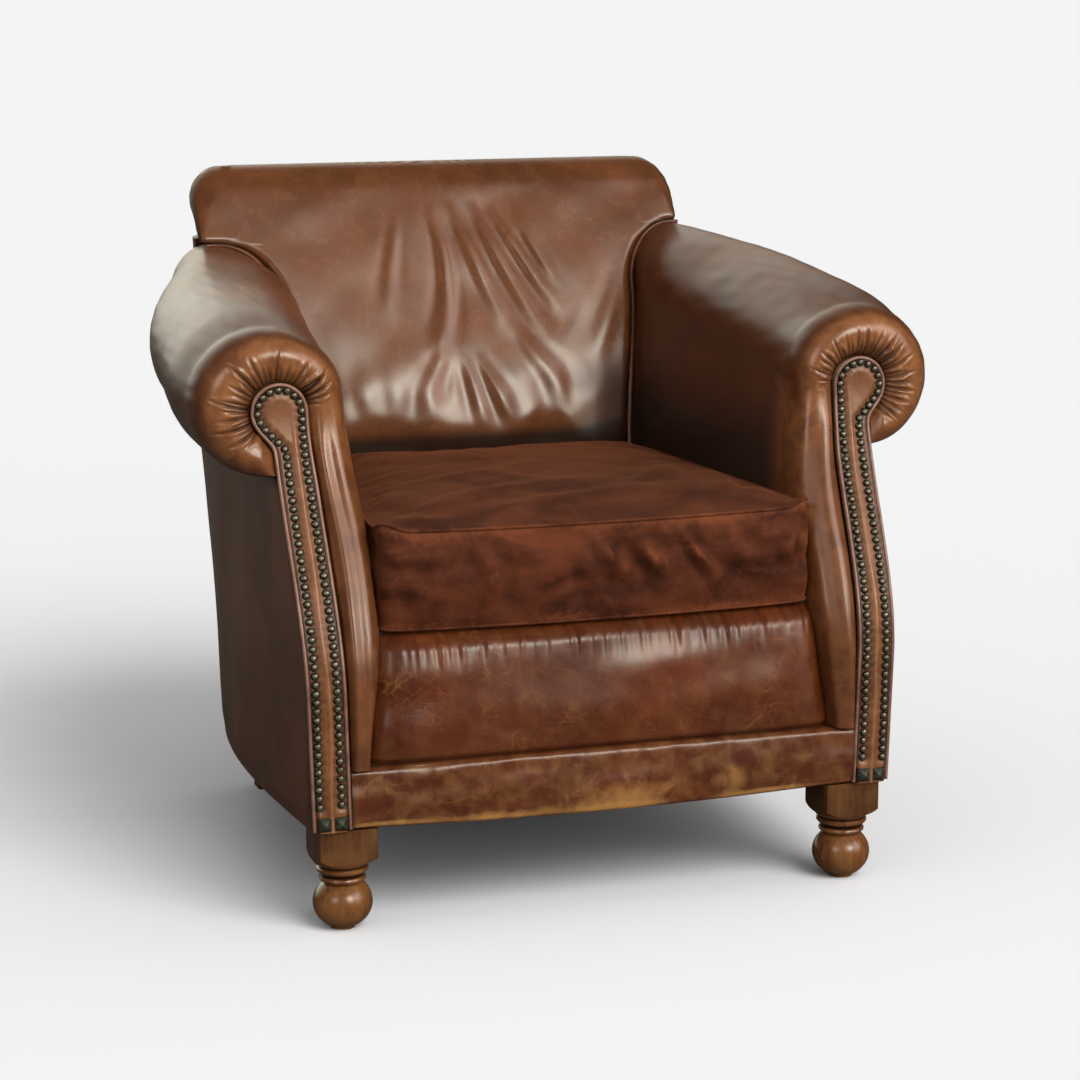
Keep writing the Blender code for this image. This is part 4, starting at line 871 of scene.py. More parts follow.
def nails(side, seed):
    """Domed nail heads driven close together by hand, so no two sit quite alike."""
    rng = np.random.default_rng(seed)
    sides = 14
    profile = ((1.0, 0.0), (1.02, 0.12), (0.97, 0.24), (0.80, 0.44), (0.55, 0.60), (0.28, 0.69))
    turn = np.linspace(0, 2 * np.pi, sides, endpoint=False)
    verts, faces, wear_and_highlight = [], [], []
    for x, d, z in nail_centres():
        slope = (rake(z + 0.001) - rake(z - 0.001)) / 0.002
        out = np.array((0.0, -1.0, slope)) / math.hypot(1.0, slope)
        out = out + rng.normal(size=3) * 0.05
        out /= np.linalg.norm(out)
        u = np.cross(out, (0.0, 0.0, 1.0))
        u /= np.linalg.norm(u)
        w = np.cross(out, u)
        centre = np.array((x, d, z)) + rng.normal(size=3) * 0.00012 + out * 0.0002
        radius = NAIL_R * rng.uniform(0.965, 1.015)
        start = len(verts)
        for share, lift in profile:
            ring = (np.cos(turn)[:, None] * u + np.sin(turn)[:, None] * w) * radius * share
            verts.extend((centre + ring + out * radius * lift * 1.05).tolist())
            wear_and_highlight.extend([max(0.0, 1.5 * lift - 0.15)] * sides)
        verts.append((centre + out * radius * 0.745).tolist())
        wear_and_highlight.append(1.0)
        faces += grid_faces(len(profile), sides, True, start)
        tip = len(verts) - 1
        last = start + (len(profile) - 1) * sides
        faces += [[last + k, last + (k + 1) % sides, tip] for k in range(sides)]
        faces.append([start + k for k in range(sides)])
    put("nails", verts, faces, {"wear_and_highlight": wear_and_highlight}, side)


def pyramid_studs(side):
    """Two square studs side by side, each with a four-sided point and a turned-down rim."""
    low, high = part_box("corner_studs_right")
    half, middle = 0.0086, (low.x + high.x) / 2
    cz = (low.z + high.z) / 2
    verts, faces, wear_and_highlight = [], [], []
    for k in (-1, 1):
        cx = middle + k * (half + 0.0002)
        start = len(verts)
        for share, lift, mark in ((1.0, -0.0003, 0.0), (1.0, 0.0012, 0.3), (0.95, 0.0018, 0.5),
                                  (0.06, 0.0078, 1.0)):
            for sx, sz in ((-1, -1), (1, -1), (1, 1), (-1, 1)):
                verts.append((cx + sx * half * share, -lift, cz + sz * half * share * 1.03))
                wear_and_highlight.append(mark)
        faces += grid_faces(4, 4, True, start)
        faces.append([start + k for k in range(4)])
        faces.append([start + 12 + k for k in range(4)])
    put("studs", verts, faces, {"wear_and_highlight": wear_and_highlight}, side)


# --- back ---
def back_profile(z):
    return ease(BACK_FRONT, z)[..., 0]


def back_rear(z):
    low = post_depth(z) - 0.0168
    rise = np.clip((z - LEDGE_Z) / (BACK_TOP - LEDGE_Z), 0, 1)
    rear = CREST_DEPTH + (rear_depth(LEDGE_Z) - CREST_DEPTH) * np.sqrt(1 - rise**2)
    return np.where(z < LEDGE_Z, low, rear)


def back_seam(side, gap, end=84.0):
    """Line where the back meets the arm, a gap away from the arm's leather, as (x, z): up the
    arm's inside and over its roll."""
    cx, cz, rx, rz = arm_section(np.array(SEAM_RUN), ARM_SAG[side])
    z = np.linspace(BACK_FOOT, cz, 90)
    low = np.stack([arm_inner_at(back_profile(z) + SEAM_DEEP, z) - gap, z], -1)
    turn = np.radians(np.linspace(0, end, 61))[1:]
    over = gap - 0.3 * gap * smooth(turn / 1.3)
    roll = np.stack([cx - (rx + over) * np.cos(turn), cz + (rz + over) * np.sin(turn)], -1)
    roll[:, 0] += (low[-1, 0] - cx + rx + gap) * (1 - smooth(turn / 0.8))
    return np.concatenate([low, roll])


def back_edge(side):
    """Edge of the back along its seam, out under the ear and round it to the middle of its
    top, as (x, z)."""
    seam = back_seam(side, 0.0062)
    x, z = seam[-1]
    out = EAR_OUT[side]
    neck = curve([(x, z), (x + 0.0110, z + 0.0004), (0.3115 + out, z + 0.0012),
                  (0.3143 + out, z + 0.0060), (0.3155 + out, z + 0.0150),
                  (EAR_X + EAR_R + out, EAR_Z)], 71)
    turn = np.radians(np.linspace(0, 90, 40))[1:]
    corner = np.stack([EAR_X + EAR_R * np.cos(turn) + out, EAR_Z + EAR_R * np.sin(turn)], -1)
    corner[:, 1] = np.minimum(corner[:, 1], BACK_TOP)
    line = np.stack([np.linspace(EAR_X, 0, 120)[1:], np.full(119, BACK_TOP)], -1)
    return np.concatenate([seam, neck[1:], corner, line])


# Ridges drawn down the back from where shoulders pull it, as (x, z) from top to bottom, with
# their half width and height in metres
DRAPES = (
    ((-0.072, 0.732), (-0.081, 0.696), (-0.090, 0.659), (-0.097, 0.617), 0.0070, 0.0016),
    ((-0.027, 0.737), (-0.017, 0.688), (-0.020, 0.626), (-0.041, 0.566), 0.0080, 0.0032),
    ((0.001, 0.740), (0.017, 0.699), (0.034, 0.649), (0.054, 0.599), 0.0080, 0.0027),
    ((0.033, 0.739), (0.054, 0.685), (0.078, 0.635), (0.105, 0.585), 0.0080, 0.0024),
    ((0.054, 0.735), (0.080, 0.691), (0.106, 0.646), (0.126, 0.612), 0.0066, 0.0024),
    ((0.084, 0.747), (0.101, 0.703), (0.119, 0.657), (0.134, 0.621), 0.0066, 0.0015),
    ((0.013, 0.557), (0.025, 0.532), (0.038, 0.506), (0.052, 0.475), 0.0080, 0.0023),
    ((0.065, 0.592), (0.087, 0.561), (0.111, 0.528), (0.125, 0.496), 0.0100, 0.0020),
    ((-0.033, 0.565), (-0.049, 0.541), (-0.058, 0.517), (-0.057, 0.480), 0.0100, 0.0022),
    ((0.220, 0.661), (0.206, 0.624), (0.188, 0.588), (0.161, 0.545), 0.0110, 0.0022),
    ((-0.008, 0.558), (0.000, 0.527), (0.009, 0.489), (0.023, 0.461), 0.0080, 0.0016),
)


def ridge_field(x, z, ridges):
    """Height of soft ridges at (x, z), and how far down in a valley beside one the point is."""
    height, valley = np.zeros_like(x), np.zeros_like(x)
    for *points, wide, high in ridges:
        gap, step = gap_to(np.stack([x, z], -1), curve(points))
        along = step / 59.0
        strength = np.sin(np.pi * np.clip(along * 0.94 + 0.03, 0, 1)) ** 0.8
        width = wide * (0.65 + 0.7 * along)
        beside = hump(gap, 1.9 * width, 0.9 * width)
        height += high * strength * (hump(gap, 0.0, width) - 0.55 * beside)
        valley += strength * beside * min(high / 0.005, 1.0)
    return height, np.clip(valley, 0, 1)


BACK_N, WALL_N, REAR_N = 360, 10, 30


def inside_back():
    edges = {side: back_edge(side) for side in ("left", "right")}
    rise = np.sin(np.linspace(0, 1, 46)[1:] * np.pi / 2)
    z = np.concatenate([np.linspace(BACK_FOOT, 0.655, 106), np.linspace(0.655, 0.728, 46)[1:],
                        mix(0.728, BACK_TOP - 0.00012, rise)])
    # half width of each row on each side, from the edge's first crossing of its height
    half = {}
    for side, edge in edges.items():
        half[side] = np.interp(z, np.maximum.accumulate(edge[:220, 1]), edge[:220, 0])
        half[side] = np.where(z > EAR_Z, EAR_X + EAR_OUT[side] + EAR_R * np.sqrt(
            np.clip(1 - ((z - EAR_Z) / EAR_R) ** 2, 0, 1)), half[side])
    even = np.linspace(-1, 1, BACK_N)
    across = mix(even, np.sin(even * np.pi / 2 * 0.97) / math.sin(np.pi / 2 * 0.97), 0.6)
    x = np.where(across[None] < 0, half["left"][:, None], half["right"][:, None]) * across[None]
    level = z[:, None] + 0 * x
    flat = np.stack([np.abs(x), level], -1)
    near = {side: gap_to(flat, edge) for side, edge in edges.items()}
    off = np.where(x < 0, near["left"][0], near["right"][0])
    foot_z = {side: edges[side][near[side][1], 1] for side in edges}
    edge_z = np.where(x < 0, foot_z["left"], foot_z["right"])
    reach = np.interp(edge_z, *np.array(BACK_ROUND).T)
    turn = np.clip(1 - off / reach, 0, 1)
    depth = back_profile(level) + reach * (1 - np.sqrt(np.clip(1 - turn**2, 0, 1)))
    depth = np.minimum(depth, CREST_DEPTH)
    inner = smooth((off - 0.006) / 0.045)
    height, valley = ridge_field(x, level, DRAPES)
    point = np.stack([x, 0 * x, level], -1)
    # fullest low down and slack above, over soft lumps, with crumpled leather where it is full
    full = 0.0090 * hump(level, 0.505, 0.070) * np.clip(1 - (x / 0.23) ** 2, 0, 1) ** 0.7
    lumps = 0.0012 * drift(point, (0.12, 1, 0.10), 21)
    crumple = 0.0006 * drift(point, (0.045, 1, 0.060), 22) * hump(level, 0.510, 0.050)
    depth -= inner * (height + full + lumps + crumple)
    # it turns back under itself where it meets the seat
    foot = 0.484 + 0.010 * drift(point * (1, 0, 0), (0.11, 1, 1), 24)
    depth += 0.011 * smooth((foot - level) / 0.060)
    between = ((z[1:-1] - z[:-2]) / (z[2:] - z[:-2]))[:, None]
    spread = np.abs(np.diff(half["left"])) + np.abs(np.diff(half["right"]))
    calm = ((spread[1:] < 0.004) & (spread[:-1] < 0.004))[:, None]
    for _ in range(4):
        depth[1:-1] += 0.4 * calm * (mix(depth[:-2], depth[2:], between) - depth[1:-1])
        relax(depth.T, 0.2)
    front = np.stack([x, depth, level], -1)
    rear = np.maximum(back_rear(z), depth.max(axis=1) + 0.0002)
    # the ears are round at the rear as well, and low down the sides draw in behind the seam
    wall = np.linspace(0, 1, WALL_N + 2)[1:-1]
    tuck = (0.021 * smooth((z - 0.688) / 0.014) + 0.010 * smooth((0.61 - z) / 0.09))[:, None]
    sides = {}
    for side, end in (("left", 0), ("right", -1)):
        inset = tuck * (wall**1.1)[None]
        sides[side] = np.stack([half[side][:, None] - inset,
                                mix(depth[:, end, None], rear[:, None], wall[None]),
                                level[:, :WALL_N]], -1)
    t = np.linspace(1, -1, REAR_N)[None]
    ends = mix(-half["left"][:, None] + tuck, half["right"][:, None] - tuck, (t + 1) / 2)
    behind = np.stack([ends, rear[:, None] + 0 * ends, z[:, None] + 0 * ends], -1)
    grid = np.concatenate([front, sides["right"], behind,
                           (sides["left"] * (-1, 1, 1))[:, ::-1]], 1)
    # painted shade in the valleys, at the foot, low down at the right and along the edge, and over
    # the side walls and the rear
    dark = 0.22 * valley * inner + 0.92 * smooth((0.480 - level) / 0.022)
    dark += 0.80 * smooth((x - 0.12) / 0.08) * smooth((0.575 - level) / 0.06)
    dark += 0.65 * (1 - smooth((off - 0.001) / 0.007)) * smooth((0.79 - level) / 0.02)
    shade_and_stain, wear_and_highlight = np.full(grid.shape[:2], 0.7), np.zeros(grid.shape[:2])
    shade_and_stain[:, :BACK_N] = dark
    wear_and_highlight[:, :BACK_N] = 0.12 + 0.10 * hump(level, 0.70, 0.06)
    put("back_skin", grid, capped_faces(*grid.shape[:2]), {"shade_and_stain": shade_and_stain, "wear_and_highlight": wear_and_highlight})


def back_welt(side):
    """Welt in the seam between the arm and the back; it follows the arm's roll out under the
    ear."""
    x, z = back_seam(side, 0.0031, 101.0)[30:].T
    path = np.stack([x, back_profile(z) + SEAM_DEEP, z], -1)
    welt("back_welt", path, 0.0030, 0.4, side)


# --- seat ---
# Ridges pulled across the cushion's front, as (x, z), and over its top, as (x, depth)
BOXING_RIDGES = (
    ((-0.010, 0.430), (0.004, 0.412), (0.020, 0.396), (0.032, 0.380), 0.0080, 0.0030),
    ((0.040, 0.432), (0.050, 0.414), (0.064, 0.398), (0.078, 0.380), 0.0085, 0.0036),
    ((0.092, 0.432), (0.104, 0.414), (0.120, 0.396), (0.140, 0.372), 0.0055, 0.0036),
    ((0.150, 0.430), (0.162, 0.410), (0.176, 0.392), (0.196, 0.374), 0.0090, 0.0020),
    ((-0.150, 0.430), (-0.135, 0.408), (-0.130, 0.388), (-0.140, 0.368), 0.0110, 0.0020),
    ((0.236, 0.424), (0.226, 0.412), (0.222, 0.398), (0.226, 0.384), 0.0060, 0.0026),
)
TOP_RIDGES = (
    ((-0.200, 0.080), (-0.130, 0.120), (-0.050, 0.150), (0.030, 0.160), 0.0150, 0.0030),
    ((-0.120, 0.060), (-0.040, 0.090), (0.050, 0.105), (0.130, 0.100), 0.0130, 0.0026),
    ((-0.150, 0.220), (-0.060, 0.240), (0.020, 0.300), (0.060, 0.360), 0.0170, 0.0028),
    ((0.060, 0.130), (0.110, 0.170), (0.150, 0.230), (0.160, 0.300), 0.0150, 0.0030),
    ((0.140, 0.080), (0.175, 0.110), (0.195, 0.160), (0.200, 0.220), 0.0120, 0.0026),
)


CUSHION_FRONT = 0.030        # depth of its front face
CUSHION_SQUARE = 0.13        # how square its corners are: 1 is round, 0 is square


def cushion_edge(z, turn):
    """Outline of the cushion at height z: it fills the room between the arms and the back."""
    c, s = np.cos(turn), np.sin(turn)
    across = np.sign(c) * np.abs(c) ** CUSHION_SQUARE
    deep = np.sign(s) * np.abs(s) ** CUSHION_SQUARE
    far = back_profile(np.maximum(z, 0.31)) - 0.003
    d = mix(CUSHION_FRONT, far, (deep + 1) / 2)
    half = arm_inner_at(d, 0.40 + 0 * d) - 0.0016
    # the front corners stand out as small ears
    ear = 0.0095 * hump(np.abs(across), 1.0, 0.10) * smooth((-deep - 0.80) / 0.2)
    return across * (half + ear), d - ear * 0.4


def cushion_welt(piece, path):
    """Thin cord round the cushion, standing just proud of its edge."""
    middle = path.mean(0)
    path = path + (path - middle) / np.linalg.norm(path - middle, axis=1)[:, None] * 0.0006
    sides = 8
    ring = tube_grid(np.concatenate([path, path[:1]]), 0.0017, sides)[:-1]
    faces = grid_faces(len(ring), sides, True)
    last = (len(ring) - 1) * sides
    faces += [[last + k, last + (k + 1) % sides, (k + 1) % sides, k] for k in range(sides)]
    put(piece, ring, faces, {"shade_and_stain": 0.0, "wear_and_highlight": 0.45})


def seat_cushion():
    low, high = CUSHION_LOW + 0.0035, CUSHION_TOP - 0.0245
    fine = np.linspace(-np.pi / 2, 1.5 * np.pi, 4000)
    count = 360
    under, wall, over = 11, 35, 48
    levels = [(low, 0.10 + 0.09 * k) for k in range(under)]
    levels += [(mix(low, high, k / (wall - 1)), 1.0) for k in range(wall)]
    levels += [(high, 1.0 - (k + 1) / (over + 1)) for k in range(over)]
    grid = np.zeros((len(levels), count, 3))
    for row, (z, share) in enumerate(levels):
        edge = np.stack(cushion_edge(z, fine), -1)
        x, d = along(edge, lambda run: np.linspace(0, run, count, endpoint=False)).T
        mid = (d.min() + d.max()) / 2
        grid[row] = np.stack([x * share, mid + (d - mid) * share, np.full(count, z)], -1)
    x, d, z = (grid[..., k].copy() for k in range(3))
    index = np.arange(len(levels))[:, None]
    up, side = index >= under + wall, (index >= under) & (index < under + wall)
    share = np.array([s for _, s in levels])[:, None]
    # crown: full in the middle, slack at the rim, with a dip where people sit
    crown = 0.0185 * (1 - share**2.4) + 0.0030 * (1 - share**12)
    crown = crown - 0.0040 * np.exp(-((x / 0.13) ** 2 + ((d - 0.25) / 0.11) ** 2))
    lumps = 0.0013 * drift(grid, (0.12, 0.10, 1.0), 31)
    lumps += 0.0005 * drift(grid, (0.05, 0.04, 1), 32)
    ridge, _ = ridge_field(x, d, TOP_RIDGES)
    z = np.where(up, high + crown + (lumps + ridge) * smooth((1 - share) / 0.15), z)
    # boxing: swells between its welts and is drawn into ridges across the front
    height = np.clip((z - low) / (high - low), 0, 1)
    swell = 4 * height * (1 - height) * side
    front = smooth((0.10 - d) / 0.05)
    ridge, valley = ridge_field(x, z, BOXING_RIDGES)
    inside = valley * front * side * swell**0.5
    soft = 0.0014 * drift(grid, (0.07, 0.5, 0.05), 33)
    soft += 0.0006 * drift(grid, (0.03, 0.5, 0.03), 34)
    d = d - front * side * (swell * (0.0060 + 1.5 * soft) + 2.3 * ridge * swell**0.5)
    # the front edge sags between its corners, which stick up where the welt turns
    sag = 0.0030 * np.clip(1 - (x / 0.25) ** 2, 0, 1) * front
    corner = hump(np.abs(x), 0.258, 0.022) * hump(d, 0.028, 0.022)
    point = corner * np.where(up, smooth((share - 0.90) / 0.10), height**3 * side)
    lip = 0.0075 * front * (1.0 - np.where(up, 1.0, height)) * (index >= under - 3)
    z = z - sag - lip + 0.0115 * point
    grid = np.stack([x, d, z], -1)
    edge_top = hump(share, 1.0, 0.03) * up
    edge_top = np.maximum(edge_top, hump(height, 1.0, 0.10) * side)
    # the front's top edge is paler, partly rubbing and partly a painted highlight, and the crests
    # of its ridges carry a painted highlight
    wear_and_highlight = 0.62 * edge_top * front + 0.45 * hump(height, 0.0, 0.08) * side * front
    wear_and_highlight += 0.22 * front * side * (0.5 + 0.5 * drift(grid, (0.07, 0.5, 0.035), 35))
    wear_and_highlight += 0.25 * corner * front + 0.50 * np.clip(ridge, 0, 0.004) / 0.004 * front * side
    faces = capped_faces(*grid.shape[:2])

    def held(spot):
        """How firmly each point of the cover is held: by the welts, and flat underneath."""
        seam = np.minimum(np.abs(spot[:, 2] - high), np.abs(spot[:, 2] - low))
        rim = np.abs(np.abs(spot[:, 0]) - arm_inner_at(spot[:, 1], 0.40 + 0 * spot[:, 0]))
        rim = np.minimum(rim, np.abs(spot[:, 1] - CUSHION_FRONT))
        away = np.hypot(seam, np.maximum(rim - 0.004, 0.0))
        low_side = smooth((low + 0.004 - spot[:, 2]) / 0.004)
        return np.maximum(1 - smooth((away - 0.005) / 0.02), low_side)

    grid = settle(grid, faces, held)
    # painted shade in the valleys across the front and over the whole top
    put("cushion_skin", grid, faces,
        {"shade_and_stain": 0.60 * inside + 0.34 * up, "wear_and_highlight": wear_and_highlight + 0 * x})
    cushion_welt("cushion_welt_top", grid[under + wall - 1])
    cushion_welt("cushion_welt_low", grid[under])


# --- front ---
def front_border():
    """Padded panel below the cushion: it bulges, then is pulled in under the cushion's lip."""
    rows_n, cols_n = 90, 260
    v = np.linspace(0, 1, rows_n)
    z = mix(BAND_TOP - 0.001, BORDER_TOP + 0.003, v)
    t = np.linspace(-1, 1, cols_n)
    half = border_half(np.minimum(z, BORDER_TOP)) + 0.0015
    x = half[:, None] * t[None]
    lean = mix(0.006, 0.026, v)
    curl = 0.020 * smooth((v - 0.80) / 0.20) ** 1.6 + 0.006 * smooth((0.06 - v) / 0.06)
    bulge = 0.0085 * np.sin(np.pi * np.clip(v * 0.92 + 0.06, 0, 1)) ** 0.8
    d = (lean + curl)[:, None] - bulge[:, None] * (1 - np.abs(t) ** 10)[None]
    d = d + (0.012 * np.abs(t) ** 26)[None]
    point = np.stack([x, d, z[:, None] + 0 * x], -1)
    # short pulls where it is tacked under the cushion, over broad unevenness
    top = smooth((v - 0.62) / 0.3)[:, None]
    pulls = drift(point * (1, 0, 0), (0.011, 1, 1), 41, 26) * top * 0.0010
    pulls += (drift(point, (0.06, 1, 0.10), 42) * 0.0004
              + drift(point, (0.16, 1, 0.06), 43) * 0.0010)
    point[..., 1] += pulls
    # painted shade at both ends, under the cushion's lip along the top, along the foot and in the
    # hollows of the pulls
    shade_and_stain = (0.5 * hump(np.abs(t), 1.0, 0.012)[None] + 0.6 * smooth((v - 0.93) / 0.07)[:, None]
              + 0.5 * hump(v, 0.0, 0.02)[:, None] + 0.35 * top * smooth((pulls - 0.0006) / 0.0012))
    wear_and_highlight = 0.30 * hump(v, 0.42, 0.25)[:, None] + 0 * x
    back = point[:, [0, -1]] * 1.0
    back[..., 1] = 0.0440
    grid = np.concatenate([back[:, :1], point, back[:, 1:]], 1)
    edged = ((0, 0), (1, 1))
    put("border_skin", grid, grid_faces(*grid.shape[:2], True),
        {"shade_and_stain": np.pad(shade_and_stain, edged, "edge"), "wear_and_highlight": np.pad(wear_and_highlight, edged, "edge")})


# Patches of the band that heels have rubbed: middle and half width across, middle and half
# height up the band (0 to 1), and how far they are worn
HEEL_RUBS = (
    (0.015, 0.065, 0.25, 0.33, 0.75),
    (0.140, 0.030, 0.35, 0.22, 0.65),
    (-0.120, 0.090, 0.08, 0.14, 0.55),
)


def front_band():
    """Low band drawn over the front rail; its lower edge is rubbed through to bare hide."""
    rows_n, cols_n = 60, 260
    turn = np.linspace(0, 1, rows_n)
    t = np.linspace(-1, 1, cols_n)
    half = face_centre(0.15) - FACE_HALF - 0.0044
    sag = 0.0065 * np.clip(1 - (t / 0.92) ** 2, 0, 1)
    low = BASE_Z - sag
    # section from the underside, round the lower edge, up the face and over the top edge
    path_z = np.interp(turn, (0.0, 0.12, 0.20, 0.80, 0.90, 1.0), (0.0, 0.0, 0.06, 0.94, 1.0, 1.0))
    path_d = np.interp(turn, (0.0, 0.12, 0.20, 0.50, 0.80, 0.90, 1.0),
                       (0.0440, 0.0030, -0.0015, -0.0040, -0.0010, 0.0040, 0.0440))
    for _ in range(6):
        relax(path_z, 0.3)
        relax(path_d, 0.3)
    z = mix(low[None], BAND_TOP + 0.0012 * np.clip(1 - t**2, 0, 1)[None], path_z[:, None])
    point = np.stack([half * t[None] + 0 * z, path_d[:, None] + 0 * z, z], -1)
    face = (np.abs(turn - 0.5) < 0.36)[:, None]
    point[..., 1] += face * (0.0007 * drift(point, (0.08, 1, 0.04), 51)
                             + 0.0004 * drift(point, (0.02, 1, 0.03), 52))
    # rubbed through by heels: along the lower edge, and in patches above it
    across, up = point[..., 0], path_z[:, None] + 0 * z
    wear_and_highlight = hump(turn, 0.20, 0.05)[:, None] * (0.55 + 0.40 * drift(point, (0.10, 1, 0.5), 53))
    for middle, half_wide, height, half_high, worn in HEEL_RUBS:
        wear_and_highlight += worn * hump(across, middle, half_wide) * hump(up, height, half_high) * face
    # a paler line along the rounded top edge, partly rubbing and partly a painted highlight
    wear_and_highlight += 0.22 * hump(turn, 0.83, 0.04)[:, None]
    # painted shade where the top edge turns back under the border and at both ends
    shade_and_stain = 0.75 * hump(turn, 0.92, 0.03)[:, None] + 0.6 * hump(np.abs(t), 1.0, 0.010)[None]
    faces = grid_faces(rows_n, cols_n, False)
    faces.append([r * cols_n for r in range(rows_n)])
    faces.append([r * cols_n + cols_n - 1 for r in range(rows_n)])
    faces += [[c, c + 1, (rows_n - 1) * cols_n + c + 1, (rows_n - 1) * cols_n + c]
              for c in range(cols_n - 1)]
    put("band_skin", point, faces, {"shade_and_stain": shade_and_stain, "wear_and_highlight": wear_and_highlight})


# --- outside panels ---
def corner_depth(z):
    return rear_depth(z) - CORNER_WRAP


def roll_underside(x, d):
    cx, cz, rx, rz = np.moveaxis(ease(ROLL, d), -1, 0)
    off = np.clip(np.abs(x - cx) / rx, 0, 0.95)
    return cz - rz * np.sqrt(1 - off**2)


def thick_panel(outer, inner):
    """Closed panel from its outer and inner surfaces, which are grids of the same size."""
    rows, cols = outer.shape[:2]
    grid = np.concatenate([outer, inner[:, ::-1]], 1)
    width = 2 * cols
    faces = grid_faces(rows, width, True)
    for row in (0, rows - 1):
        faces += [[row * width + k, row * width + k + 1, row * width + width - 2 - k,
                   row * width + width - 1 - k] for k in range(cols - 1)]
    return grid, faces


def outside_arm(side, seed):
    """Side panel stretched from the welt of the facing to the rear corner, up under the roll."""
    t = np.linspace(0, 1, 130)[None]
    v = np.linspace(0, 1, 110)[:, None]
    depth = mix(rake(0.49) + 0.036, corner_depth(0.49), t)
    top = roll_underside(side_x(t, 0.5), depth) + 0.002
    z = mix(BASE_Z + 0 * t, top, v)
    d = mix(rake(z) + 0.0075, corner_depth(z), t)
    point = np.stack([side_x(t, z) - 0.0004, d, z], -1)
    edge = smooth(v / 0.06) * smooth(t / 0.03) * smooth((1 - t) / 0.03)
    point[..., 0] += edge * (0.0012 + 0.0010 * drift(point, (1, 0.20, 0.30), seed)
                             + 0.0002 * drift(point, (1, 0.060, 0.10), seed + 1))
    # painted shade beside the facing's welt and along the top, under the roll
    shade_and_stain = 0.8 * hump(t, 0.0, 0.012) + 0.7 * hump(v, 1.0, 0.02)
    wear_and_highlight = 0.25 * hump(v, 0.0, 0.03) + 0 * t
    grid, faces = thick_panel(point, point - (PANEL_THICK, 0, 0))
    marks = {"shade_and_stain": shade_and_stain, "wear_and_highlight": wear_and_highlight}
    marks = {key: np.concatenate([mark, mark[:, ::-1]], 1) for key, mark in marks.items()}
    put("side_skin", grid, faces, marks, side)


def outside_back():
    """Rear panel: stretched flat, wrapped round both corners and seamed under the back's roll."""
    z = np.linspace(BASE_Z, LEDGE_Z - 0.0002, 90)[:, None]
    loops = []
    for thick in (0.0, PANEL_THICK):
        half = side_x(1.0, z) - thick
        radius = CORNER_R - thick
        rear = rear_depth(z) - thick
        arc = np.radians(90.0) * np.linspace(0, 1, 24)[None]
        x = np.concatenate([half + 0 * arc[:, :1], half - radius + radius * np.cos(arc)], 1)
        d = np.concatenate([corner_depth(z), rear - radius + radius * np.sin(arc)], 1)
        mid = np.linspace(1, -1, 60)[None, 1:-1] * (half - radius)
        line_x = np.concatenate([x, mid, -x[:, ::-1]], 1)
        line_d = np.concatenate([d, rear + 0 * mid, d[:, ::-1]], 1)
        drop = 0.009 * smooth((np.abs(line_x) - 0.285) / 0.03) * smooth((z - 0.60) / 0.11)
        loops.append(np.stack([line_x, line_d, z - drop], -1))
    outer, inner = loops
    flat = smooth((z - BASE_Z) / 0.03) * smooth((LEDGE_Z - z) / 0.03)
    outer[..., 1] += flat * 0.0012 * drift(outer, (0.2, 1, 0.16), 61)
    grid, faces = thick_panel(outer, inner)
    put("rear_skin", grid, faces, {"shade_and_stain": 0.0, "wear_and_highlight": 0.0})


# --- feet ---
BALL_R, BALL_Z = 0.0335, 0.030
# The round shoulder under the block: radius and height where it starts, how far it goes out
# and up, and its steps
SHOULDER_R, SHOULDER_Z, SHOULDER_OUT, SHOULDER_UP, SHOULDER_N = 0.0320, 0.0790, 0.0170, 0.0190, 12
BLOCK_REACH, BLOCK_Z = 0.07, 0.118       # beyond the block's corners; where it is square again
# Turned rings from the ball up to the shoulder: radius, height, how much stain they hold
RINGS = (
    (0.0206, 0.0538, 0.9), (0.0208, 0.0546, 1.0), (0.0245, 0.0551, 0.2), (0.0262, 0.0567, 0.0),
    (0.0266, 0.0585, 0.0), (0.0258, 0.0602, 0.1), (0.0232, 0.0614, 0.8), (0.0212, 0.0624, 1.0),
    (0.0214, 0.0638, 1.0), (0.0240, 0.0648, 0.5), (0.0278, 0.0660, 0.0), (0.0292, 0.0678, 0.0),
    (0.0293, 0.0698, 0.0), (0.0280, 0.0716, 0.3), (0.0262, 0.0726, 0.9), (0.0264, 0.0738, 0.8),
    (0.0300, 0.0752, 0.2), (0.0318, 0.0775, 0.0), (0.0320, 0.0790, 0.0),
)


